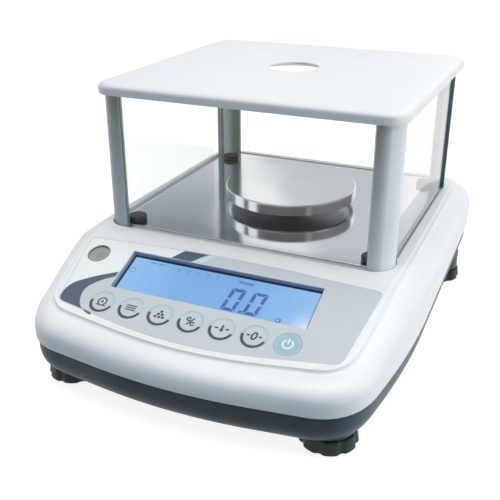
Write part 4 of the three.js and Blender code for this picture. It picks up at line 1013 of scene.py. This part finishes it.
def upper_housing():
    shell = upper_skin()
    carve(shell, "DIFFERENCE", upper_hollow())
    tub = rounded_rectangle(-RECESS_HALF - SHELL_WALL, RECESS_HALF + SHELL_WALL, RECESS_FRONT_Y - SHELL_WALL,
                            RECESS_REAR_Y + SHELL_WALL, RECESS_CORNER + SHELL_WALL)
    carve(shell, "UNION", plate("tub", [tub], RECESS_FLOOR - SHELL_WALL, DECK_HEIGHT - SHELL_WALL / 2))
    recess = rounded_rectangle(-RECESS_HALF, POST_HALF - POST_INSET + FIT_GAP, RECESS_FRONT_Y, RECESS_REAR_Y,
                               RECESS_CORNER)
    seat = rounded_rectangle(0, POST_HALF - POST_FRONT_INSET + FIT_GAP, RECESS_FRONT_Y,
                             RECESS_FRONT_Y + 2 * RECESS_CORNER + OVERRUN, RECESS_CORNER)
    for outline in (recess, seat):
        carve(shell, "DIFFERENCE", plate("recess", [outline], RECESS_FLOOR, DECK_HEIGHT + OVERRUN))
    collar = circle(0, PAN_Y, COLLAR_RADIUS + COLLAR_WALL)
    carve(shell, "UNION", plate("collar", [collar], RECESS_FLOOR - SHELL_WALL, RECESS_FLOOR + COLLAR_HEIGHT))
    deep = -SHELL_WALL - OVERRUN
    shaft = circle(0, PAN_Y, COLLAR_RADIUS)
    film = -OVERLAY_THICKNESS - FIT_GAP
    cutters = [plate("shaft_hole", [shaft], RECESS_FLOOR + deep, DECK_HEIGHT + OVERRUN),
               plate("pocket", [overlay_outline(KEY_GAP)], film, OVERRUN, matrix=PANEL)]
    holes = [window_outline(WINDOW_LAP + FIT_GAP), circle(LEVEL_X, -LEVEL_LINE, LEVEL_RADIUS + OVERRUN)]
    holes += [circle(x, -KEY_LINE, KEY_RADIUS + FIT_GAP) for x in KEY_PLACES]
    cutters += [plate("panel_hole", [hole], deep, OVERRUN, matrix=PANEL) for hole in holes]
    half = PORT_PLATE_WIDTH / 2 - PORT_LAP
    high = PORT_PLATE_HEIGHT / 2
    cutters.append(box_mesh("port_hole", PORT_PLATE_X - half, PORT_PLATE_X + half,
                            REAR_Y - REAR_BOW - SHELL_WALL - OVERRUN - FIT_GAP, REAR_Y + OVERRUN,
                            port_height() - high, port_height() + high))
    carve(shell, "DIFFERENCE", *cutters)
    dress(weigh_normals(shell), "white", "white_plastic", "upper_housing")


def tray_ring(inset, drop):
    return housing_ring(LEDGE_WIDTHS - BASE_INSET - inset, lambda y: parting_height(y) - SEAM_GAP - drop)


def tray_floor(y):
    return float(parting_height(y)) - SEAM_GAP - BASE_DEPTH + SHELL_WALL


FEET = {
    "front_left": (-FOOT_X, FRONT_Y + FOOT_FRONT_Y),
    "front_right": (FOOT_X, FRONT_Y + FOOT_FRONT_Y),
    "rear_left": (-FOOT_REAR_X, REAR_Y - FOOT_REAR_Y),
    "rear_right": (FOOT_REAR_X, REAR_Y - FOOT_REAR_Y),
}


def tray_rings(inset, depth, steps):
    """Rings of the bowl from its lowest to its straight side."""
    return [tray_ring(inset + BASE_CURVE * (1 - math.cos(a)),
                      BASE_STRAIGHT + (depth - BASE_STRAIGHT) * math.sin(a)) for a in quarter(steps)[::-1]]


def lower_housing():
    outer = tray_rings(0, BASE_DEPTH, 12) + [tray_ring(0, BASE_BEVEL_DOWN), tray_ring(BASE_BEVEL_IN, 0)]
    inner = tray_rings(SHELL_WALL, BASE_DEPTH - SHELL_WALL, 4) + [tray_ring(SHELL_WALL, -OVERRUN)]
    tray = loft("lower_shell", outer)
    carve(tray, "DIFFERENCE", loft("tray_hollow", inner))
    bottom = FOOT_HEIGHT + FIT_GAP
    for x, y in FEET.values():
        top = tray_floor(y)
        carve(tray, "UNION", turned("leg", drum(LEG_RADIUS, bottom, top, LEG_ROUND), x, y))
        bore = circle(x, y, STUD_RADIUS + FIT_GAP)
        carve(tray, "DIFFERENCE", plate("bore", [bore], bottom - OVERRUN, top + OVERRUN))
    dress(weigh_normals(tray), "teal", "teal_plastic", "lower_housing")


# Front panel
def panel_overlay():
    holes = [window_outline(), circle(LEVEL_X, -LEVEL_LINE, LEVEL_RADIUS)]
    holes += [circle(x, -KEY_LINE, KEY_RADIUS + KEY_GAP) for x in KEY_PLACES]
    film = plate("overlay_film", [overlay_outline(), *holes], -OVERLAY_THICKNESS, 0, matrix=PANEL)
    dress(film, "overlay", "panel_print", "panel_overlay")


def curve_through(points, count=12):
    """A smooth line through a few points, each leg a cubic that leaves a point along its neighbours' line."""
    points = [np.array(p, float) for p in points]
    padded = [2 * points[0] - points[1], *points, 2 * points[-1] - points[-2]]
    line = []
    for a, b, c, d in zip(padded, padded[1:], padded[2:], padded[3:]):
        for t in np.linspace(0, 1, count, endpoint=False):
            line.append(0.5 * (2 * b + (c - a) * t + (2 * a - 5 * b + 4 * c - d) * t ** 2
                               + (3 * b - a - 3 * c + d) * t ** 3))
    return line + [points[-1]]


def overlay_print():
    edge = overlay_outline(-PRINT_MARGIN)
    left_side = [point for point in edge[len(edge) // 2:]
                 if point[0] < BAND_INNER[0][0] or point[1] > -OVERLAY_TOP * 2]
    outer = curve_through(BAND_OUTER)
    inner = curve_through(BAND_INNER)
    corner = [point for point in left_side if point[1] < BAND_OUTER[0][1]]
    band = np.array([*corner[::-1], *outer, *inner[::-1]])
    print_shapes("band_print", [[band]], 0, "slate", "panel_print")
    window_left = WINDOW_X - WINDOW_WIDTH / 2 - PRINT_MARGIN
    window_top = -WINDOW_TOP + PRINT_MARGIN
    upper = [point for point in left_side if point[1] > BAND_OUTER[0][1] and point[0] < SLANT_BAR[2][0]]
    white = np.array([*outer, (window_left, BAND_OUTER[-1][1]), (window_left, window_top),
                      (SLANT_BAR[0][0], window_top), *SLANT_BAR[1:3], *upper])
    level = circle(LEVEL_X, -LEVEL_LINE, LEVEL_RADIUS)
    print_shapes("white_print", [[white, level]], 0, "overlay_white", "panel_print", height=INK / 2)
    print_shapes("bar_print", [[np.array(SLANT_BAR)]], 0, "slate", "panel_print")
    print_shapes("pale_bar_print", [[np.array(PALE_BAR)]], 0, "cyan_ink", "panel_print")


def display():
    well = plate("display_well", [window_outline(WELL_WALL), window_outline()], -WELL_DEPTH,
                 -OVERLAY_THICKNESS, matrix=PANEL)
    dress(well, "well", "panel_print")
    pane = plate("window_pane", [window_outline(-WINDOW_SLACK)], -WINDOW_SINK - WINDOW_SHEET, -WINDOW_SINK,
                 matrix=PANEL)
    dress(pane, "window", "clear_glass", "display_window")
    surround = plate("display_frame", [window_outline(WELL_WALL), window_outline(-WELL_FRAME)],
                     -WELL_DEPTH - WELL_FRAME_SHEET, -WELL_DEPTH, matrix=PANEL)
    dress(surround, "navy", "display_glass")
    face = plate("display_face", [window_outline(SCREEN_LAP - WELL_FRAME)], SCREEN_TOP - SCREEN_SHEET,
                 SCREEN_TOP, matrix=PANEL)
    dress(face, "lcd", "display_glass", "display_module")


def segment_shapes(left, middle_y):
    """The six lit segments of a slanted nought."""
    half, wide, thick, gap = DIGIT_HEIGHT / 2, DIGIT_WIDTH, DIGIT_STROKE, DIGIT_GAP
    notch = thick * DIGIT_NOTCH_SHARE
    end = [(gap, half), (wide - gap, half), (wide - thick - gap, half - thick), (thick + gap, half - thick)]
    side = [(0, half - gap), (thick, half - thick - gap), (thick, notch), (0, gap)]
    segments = [end, side, [(wide - x, y) for x, y in side]]
    return [[np.array([(left + x + flip * y * DIGIT_SLANT, middle_y + flip * y) for x, y in segment])]
            for flip in (1, -1) for segment in segments]


def display_ink():
    shapes = segment_shapes(DIGIT_LEFT, -DIGIT_LINE) + segment_shapes(DIGIT_LEFT + DIGIT_PITCH, -DIGIT_LINE)
    point_x = DIGIT_LEFT + (DIGIT_PITCH + DIGIT_WIDTH) / 2 - POINT_SHIFT
    shapes.append(drawn(POINT, point_x, -DIGIT_LINE - DIGIT_HEIGHT / 2))
    print_shapes("digits", shapes, SCREEN_TOP, "lcd_ink", "display_glass")
    print_shapes("unit_mark", marks(UNIT_MARK, *UNIT_PLACE), SCREEN_TOP, "lcd_ink", "display_glass")
    print_shapes("annunciators", marks(FAINT_MARKS), SCREEN_TOP, "lcd_faint", "display_glass")


def keys():
    profile = [(0, -KEY_DEPTH), (KEY_RADIUS, -KEY_DEPTH), (KEY_RADIUS, -KEY_BEVEL),
               (KEY_RADIUS - KEY_BEVEL, 0), (0, 0)]
    halo_radius = KEY_ARC + (KEY_ARC_WIDTH - KEY_HALO_WIDTH) / 2
    for i, x in enumerate(KEY_PLACES):
        name = f"key_{i + 1}"
        body = f"{name}_cap"
        last = i == KEY_COUNT - 1
        face, ink, halo = "key_face", "key_ink", (halo_radius, KEY_HALO_WIDTH, *KEY_HALO_TURN)
        if last:
            face, ink, halo = "power_face", "pale_ink", (KEY_ARC, POWER_RING_WIDTH, *FULL_TURN)
        cap = turned(f"{name}_cap_face", profile, x, -KEY_LINE, matrix=PANEL)
        dress(cap, face, "key_print", name, body=body)
        print_shapes(f"{name}_halo", [[arc_band(x, -KEY_LINE, *halo)]], 0, "halo", "key_print", body, INK / 2)
        if not last:
            arc = arc_band(x, -KEY_LINE, KEY_ARC, KEY_ARC_WIDTH, *KEY_ARC_TURN)
            print_shapes(f"{name}_arc", [[arc]], 0, ink, "key_print", body)
        icon = marks(KEY_ICONS[i], x, ICON_RISE - KEY_LINE)
        print_shapes(f"{name}_icon", icon, 0, ink, "key_print", body)


def level_vial():
    place = (LEVEL_X, -LEVEL_LINE)
    bubble_place = (LEVEL_X + LEVEL_BUBBLE_SHIFT[0], LEVEL_BUBBLE_SHIFT[1] - LEVEL_LINE)
    rim = LEVEL_RADIUS + LEVEL_WALL
    cup = [(0, -LEVEL_DEPTH), (rim, -LEVEL_DEPTH), (rim, -OVERLAY_THICKNESS),
           (LEVEL_RADIUS, -OVERLAY_THICKNESS), (LEVEL_RADIUS, -LEVEL_FLOOR), (0, -LEVEL_FLOOR)]
    dress(turned("level_cup", cup, *place, matrix=PANEL), "level", "level_grey", "level_vial")
    dress(turned("level_liquid", LEVEL_LIQUID, *place, matrix=PANEL), "level_liquid", "level_grey")
    ring = arc_band(*place, *LEVEL_RING, *FULL_TURN)
    print_shapes("level_ring", [[ring]], -LEVEL_RING_SINK, "level", "level_grey")
    dress(turned("level_bubble", LEVEL_BUBBLE, *bubble_place, matrix=PANEL), "lens", "clear_glass")
    dress(turned("level_dome", LEVEL_LENS, *place, matrix=PANEL), "lens", "clear_glass", "level_lens")


# Draft shield
def corner_post(name, side_x, side_y, look, side_inset=0, rear_inset=0):
    edge = POST_FRONT_Y if side_y < 0 else POST_REAR_Y - rear_inset
    half = POST_HALF - side_inset
    middle = (half - POST_RADIUS, POST_RADIUS)
    bend = quarter(18) - math.pi / 2
    hollow = quarter(14)[::-1] - math.pi / 2
    front = POST_HALF - POST_CROSS_LEG
    leg = POST_SIDE_LEG - rear_inset
    tip = rounding(POST_TIP, 4)
    points = [(front + u, v) for u, v in tip]
    points += [*around(*middle, POST_RADIUS, bend)]
    points += [(half - v, leg - u) for u, v in tip[::-1]]
    points += [(half - POST_WALL + v, leg - u) for u, v in tip]
    points += [*around(*middle, POST_RADIUS - POST_WALL, hollow)]
    points += [(front + u, POST_WALL - v) for u, v in tip[::-1]]
    outline = np.array([(side_x * across, edge - side_y * along) for across, along in points])
    post = plate(f"{name}_profile", [outline], POST_BOTTOM, POST_TOP, sharp=SHARP_POST_EDGE)
    dress(weigh_normals(post, SHARP_POST_EDGE), look, "post_plastic", name)


def lid_outline(inset):
    half = POST_HALF + LID_SIDE_OVERHANG - inset
    front = POST_FRONT_Y - LID_FRONT_OVERHANG + inset
    rear = POST_REAR_Y + LID_REAR_OVERHANG - inset
    corner = max(LID_CORNER - inset, LID_ROUND)
    arcs = []
    for sign, y, outward in ((1, front, -1), (1, rear, 1), (-1, rear, 1), (-1, front, -1)):
        point = np.array([sign * half, y])
        ends = [point - np.array([0, outward * corner]), point - np.array([sign * corner, 0])]
        start, end = ends if sign == outward else ends[::-1]
        arcs.append(quadratic(start, point, end, LID_CORNER_STEPS))
    points = []
    for arc, following in zip(arcs, arcs[1:] + arcs[:1]):
        points += [*arc, *np.linspace(arc[-1], following[0], LID_SIDE_STEPS + 1)[1:-1]]
    return np.array(points)


def shield_lid():
    edge_top = LID_BOTTOM + LID_EDGE
    ceiling = edge_top - LID_WALL
    base = lid_outline(0)
    rounded = lid_outline(LID_ROUND)
    angles = np.arctan2(base[:, 1] - PAN_Y, base[:, 0])
    mouth = around(0, PAN_Y, LID_HOLE + LID_ARRIS, angles)
    crown_reach = 1 - LID_HOLE / (POST_HALF + LID_SIDE_OVERHANG - LID_ROUND)

    def hole(radius, height):
        return ring_at(around(0, PAN_Y, radius, angles), height)

    rings = [ring_at(lid_outline(inset), LID_BOTTOM + up) for up, inset in rounding(LID_ARRIS, 4)]
    rings += [ring_at(lid_outline(inset), edge_top - down) for inset, down in rounding(LID_ROUND, 10)]
    for share in np.linspace(0, 1, 22)[1:]:
        top = edge_top + LID_CROWN * (1 - (1 - share * crown_reach) ** 2)
        rings.append(ring_at(rounded + (mouth - rounded) * share, top))
    rings += [hole(LID_HOLE + out, top - down) for down, out in rounding(LID_ARRIS, 4)[1:]]
    rings += [hole(LID_HOLE, top - LID_ARRIS * 2), hole(LID_HOLE + LID_FLARE, ceiling),
              ring_at(lid_outline(LID_RIM), ceiling), ring_at(lid_outline(LID_RIM), LID_BOTTOM)]
    faces = loft_faces(len(base), len(rings), closed=True)
    lid = make_object("lid_moulding", np.vstack(rings), faces, sharp=SHARP_LID_EDGE)
    dress(weigh_normals(lid, SHARP_LID_EDGE), "lid", "white_plastic", "shield_lid", body="lid")


def chamber_plate():
    def outline(inset):
        return rounded_rectangle(-PLATE_HALF + inset, PLATE_HALF - inset, PLATE_FRONT_Y + inset,
                                 PLATE_REAR_Y - inset, PLATE_CORNER - inset, 12)

    skirt = PLATE_TOP - PLATE_SKIRT
    below = PLATE_TOP - PLATE_THICKNESS
    inside = outline(PLATE_THICKNESS)
    hole = around(0, PAN_Y, PLATE_HOLE, np.arctan2(inside[:, 1] - PAN_Y, inside[:, 0]))
    rings = [ring_at(inside, skirt), ring_at(outline(0), skirt)]
    rings += [ring_at(outline(inset), PLATE_TOP - down) for inset, down in rounding(PLATE_FOLD, 5)]
    rings += [ring_at(hole, PLATE_TOP), ring_at(hole, below), ring_at(inside, below)]
    sheet = make_object("chamber_sheet", np.vstack(rings), loft_faces(len(inside), len(rings), closed=True))
    dress(weigh_normals(sheet), "plate_steel", "stainless_steel", "chamber_plate")


def knobs():
    side = POST_HALF - KNOB_SIDE_INSET
    ends = {"front": POST_FRONT_Y + KNOB_FRONT_INSET, "rear": POST_REAR_Y - KNOB_REAR_INSET}
    bottom = PLATE_TOP + FIT_GAP
    profile = drum(KNOB_RADIUS, bottom, bottom + KNOB_HEIGHT, KNOB_CHAMFER)
    for end, y in ends.items():
        for sign, hand in ((-1, "left"), (1, "right")):
            knob = turned(f"knob_{end}_{hand}", profile, sign * side, y, 48)
            dress(knob, "black", "black_plastic", f"shield_knob_{end}_{hand}")


# Pan and support
def weighing_pan():
    ceiling = PAN_TOP - PAN_SHEET
    inner = PAN_RADIUS - PAN_SHEET
    socket = ceiling - PAN_HEIGHT / 2
    outside = PAN_SOCKET + PAN_SOCKET_WALL
    profile = [(PAN_SOCKET, socket), (outside, socket), (outside, ceiling), (inner, ceiling),
               (inner, PAN_RIM + PAN_BEAD), (inner + PAN_BEAD, PAN_RIM), (PAN_RADIUS - PAN_BEAD, PAN_RIM),
               (PAN_RADIUS, PAN_RIM + PAN_BEAD),
               *[(PAN_RADIUS - inset, PAN_TOP - down) for inset, down in rounding(PAN_EDGE, 6)],
               (PAN_RADIUS / 2, PAN_TOP), (0, PAN_TOP), (0, ceiling), (PAN_SOCKET, ceiling)]
    pan = turned("pan_spinning", profile, 0, PAN_Y, 160)
    dress(weigh_normals(pan), "pan", "stainless_steel", "weighing_pan", body="pan")


def pan_support():
    bottom = BRACKET_TOP + FIT_GAP
    hub_top = PAN_TOP - PAN_SHEET - FIT_GAP
    disc_top = hub_top - PAN_HEIGHT / 2 - FIT_GAP
    disc_low = disc_top - SUPPORT_SHEET
    profile = [(0, bottom), (SUPPORT_SHAFT, bottom), (SUPPORT_SHAFT, disc_low), (SUPPORT_DISC, disc_low),
               (SUPPORT_DISC, disc_top), (SUPPORT_HUB, disc_top), (SUPPORT_HUB, hub_top), (0, hub_top)]
    support = turned("support_turning", rounded_profile(profile, SUPPORT_ROUND, 2), 0, PAN_Y)
    dress(support, "aluminium", "cell_aluminium", "pan_support", body="receptor")


# Feet
FOOT_ANGLES = np.arange(FOOT_POINTS) * 2 * math.pi / FOOT_POINTS - math.pi / 2


def scalloped(x, y, radius):
    dip = FOOT_SCALLOP * np.maximum(0, np.cos(FOOT_ANGLES * FOOT_LOBES)) ** 2
    return around(x, y, radius - dip, FOOT_ANGLES)


def foot(name, x, y):
    top_radius = FOOT_RADIUS - FOOT_TAPER
    levels = [(FOOT_RADIUS - inset, PAD_PROUD + up) for up, inset in rounding(FOOT_ROUND, 4)]
    levels += [(top_radius - inset, FOOT_HEIGHT - down) for inset, down in rounding(FOOT_ROUND, 4)]
    rings = [ring_at(scalloped(x, y, radius), height) for radius, height in levels]
    ledge = PAD_HEIGHT + FIT_GAP
    for radius, height in ((STUD_RADIUS, FOOT_HEIGHT), (STUD_RADIUS, ledge), (PAD_RADIUS, ledge),
                           (PAD_RADIUS, PAD_PROUD)):
        rings.append(ring_at(around(x, y, radius + FIT_GAP, FOOT_ANGLES), height))
    faces = loft_faces(FOOT_POINTS, len(rings), closed=True)
    wheel = make_object(f"foot_{name}_rim", np.vstack(rings), faces)
    dress(weigh_normals(wheel), "foot", "teal_plastic", f"foot_wheel_{name}", body=f"foot_{name}_wheel")
    pad = turned(f"foot_{name}_rubber", drum(PAD_RADIUS, 0, PAD_HEIGHT, PAD_ROUND), x, y)
    dress(pad, "rubber", "pad_rubber", f"foot_pad_{name}", body=f"foot_{name}_pad")


# Rear ports
def jack_screws():
    y = REAR_Y - REAR_BOW - SHELL_WALL - FIT_GAP
    outlines = [circle(0, 0, JACK_RADIUS, 6), circle(0, 0, JACK_RADIUS * JACK_BORE_SHARE, 24)]
    across = Matrix.Rotation(math.radians(-90), 4, "X")
    for i, sign in enumerate((-1, 1)):
        centre = Vector((PORT_PLATE_X + SERIAL_SPACING + sign * JACK_SPACING, y, port_height())) * MM
        place = Matrix.Translation(centre) @ across
        nut = plate(f"jack_screw_{i + 1}", outlines, 0, JACK_HEIGHT, matrix=place)
        dress(nut, "steel", "stainless_steel")


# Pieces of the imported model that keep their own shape
NODE_LOOKS = {
    "white": ["shield_frame"],
    "side_glass": ["pane_left", "pane_right"],
    "cross_glass": ["pane_front", "pane_rear"],
    "aluminium": ["top_bracket", "load_cell"],
    "board": ["display_board", "switch_board", "main_board"],
    "cable": ["ribbon_cable"],
    "black": ["port_plate", "power_inlet"],
    "steel": ["cell_base", "cell_bolt_1", "cell_bolt_2", "overload_stop", "serial_port",
              *[f"housing_screw_{i}" for i in range(1, 5)], *[f"foot_stud_{name}" for name in FEET]],
}


def dress_nodes():
    for look, names in NODE_LOOKS.items():
        for name in names:
            node = frame["nodes"][name]
            for slot in node.material_slots:
                slot.link = "OBJECT"
                slot.material = LOOKS[look]
            soften(node, NODE_EDGE)


# Camera, light and floor
def camera():
    data = bpy.data.cameras.new("camera")
    data.sensor_width = SENSOR
    data.lens = CAMERA_FOCAL_PIXELS * SENSOR / PICTURE_PIXELS
    data.clip_end = CAMERA_REACH * MM
    obj = bpy.data.objects.new("camera", data)
    obj.location = Vector(CAMERA_PLACE) * MM
    obj.rotation_euler = (math.radians(90 - CAMERA_ELEVATION), 0, math.radians(CAMERA_AZIMUTH))
    bpy.context.scene.collection.objects.link(obj)
    bpy.context.scene.camera = obj


def seen_directly(tree):
    """1 for rays from the camera, from mirrors and through glass."""
    path = add(tree, "LightPath", {}).outputs
    seen = maths(tree, "MAXIMUM", path["Is Camera Ray"], path["Is Glossy Ray"])
    return maths(tree, "MAXIMUM", seen, path["Is Transmission Ray"])


def floor():
    look, tree = new_look("floor_paper")
    shade = add(tree, "BsdfDiffuse", {"Color": FLOOR_SHADE}).outputs["BSDF"]
    shown = add(tree, "BsdfDiffuse", {"Color": FLOOR_SHOWN}).outputs["BSDF"]
    glow = add(tree, "Emission", {"Strength": FLOOR_GLOW}).outputs["Emission"]
    both = add(tree, "AddShader", {0: shown, 1: glow}).outputs["Shader"]
    finish(look, mix_shader(tree, seen_directly(tree), shade, both))
    paper = plate("floor", [circle(0, 0, FLOOR_RADIUS, 96)], -FLOOR_THICKNESS, 0)
    paper.data.materials.append(look)


def world():
    sky = bpy.data.worlds.new("studio")
    bpy.context.scene.world = sky
    sky.use_nodes = True
    tree = sky.node_tree
    tree.nodes.clear()
    place = place_of(tree, "Generated")
    depth = map_range(tree, part_of(tree, place, "Y"), 0, 1, ROOM_DEPTH)
    rise = map_range(tree, part_of(tree, place, "Z"), 0, 1, ROOM_RISE)
    room = mix_colour(tree, rise, mix_colour(tree, depth, ROOM_FRONT, ROOM_REAR), ROOM_TOP)
    ambient = add(tree, "Background", {"Color": room}).outputs["Background"]
    white = add(tree, "Background", {"Color": WHITE}).outputs["Background"]
    add(tree, "OutputWorld", {"Surface": mix_shader(tree, seen_directly(tree), ambient, white)})


def board(name, turn, outline, low, high, span=(0, 1)):
    """A grey board far off that only shows in shiny pieces; turn is its bearing from the camera's axis."""
    look, tree = new_look(name)
    rise = map_range(tree, part_of(tree, place_of(tree), "Y"), 0, 1, span)
    finish(look, add(tree, "Emission", {"Color": mix_colour(tree, rise, low, high)}).outputs["Emission"])
    bearing = Matrix.Rotation(math.radians(CAMERA_AZIMUTH - turn), 4, "Z")
    matrix = bearing @ Matrix.Translation((0, BOARD_DISTANCE * MM, 0)) @ Matrix.Rotation(math.pi / 2, 4, "X")
    sheet = plate(name, [np.array(outline) * BOARD_DISTANCE], 0, BOARD_THICKNESS, matrix=matrix)
    sheet.data.materials.append(look)
    sheet.visible_camera = False
    sheet.visible_diffuse = False
    sheet.visible_transmission = False
    sheet.visible_shadow = False


def boards():
    board("right_board", 0, RIGHT_BOARD, CARD_GREY, CARD_GREY)
    board("left_board", 0, LEFT_BOARD, LEFT_LIGHT, LEFT_DARK, LEFT_FALL)
    board("side_board", 90, WIDE_BOARD, SIDE_DARK, SIDE_DARK)
    board("front_board", 180, WIDE_BOARD, FRONT_DARK, FRONT_DARK)


def lamp(name, place, size, power):
    data = bpy.data.lights.new(name, "AREA")
    data.shape = "RECTANGLE"
    data.size, data.size_y = size
    data.energy = power
    obj = bpy.data.objects.new(name, data)
    obj.location = place
    direction = Vector(LAMP_TARGET) - Vector(place)
    obj.rotation_euler = direction.to_track_quat("-Z", "Y").to_euler()
    bpy.context.scene.collection.objects.link(obj)
    return obj


def lamps():
    lamp("top_light", **TOP_LAMP)
    lamp("side_light", **SIDE_LAMP).visible_glossy = False


camera()
floor()
world()
boards()
lamps()
bpy.context.scene.view_settings.view_transform = "Standard"
upper_housing()
lower_housing()
panel_overlay()
overlay_print()
display()
display_ink()
keys()
level_vial()
corner_post("post_front_left", -1, -1, "post")
corner_post("post_front_right", 1, -1, "post_right_painted_light", POST_FRONT_INSET)
corner_post("post_rear_left", -1, 1, "post_shaded")
corner_post("post_rear_right", 1, 1, "post_rear_painted_light", POST_INSET, POST_REAR_INSET)
shield_lid()
chamber_plate()
knobs()
weighing_pan()
pan_support()
for foot_name, (foot_x, foot_y) in FEET.items():
    foot(foot_name, foot_x, foot_y)
jack_screws()
dress_nodes()
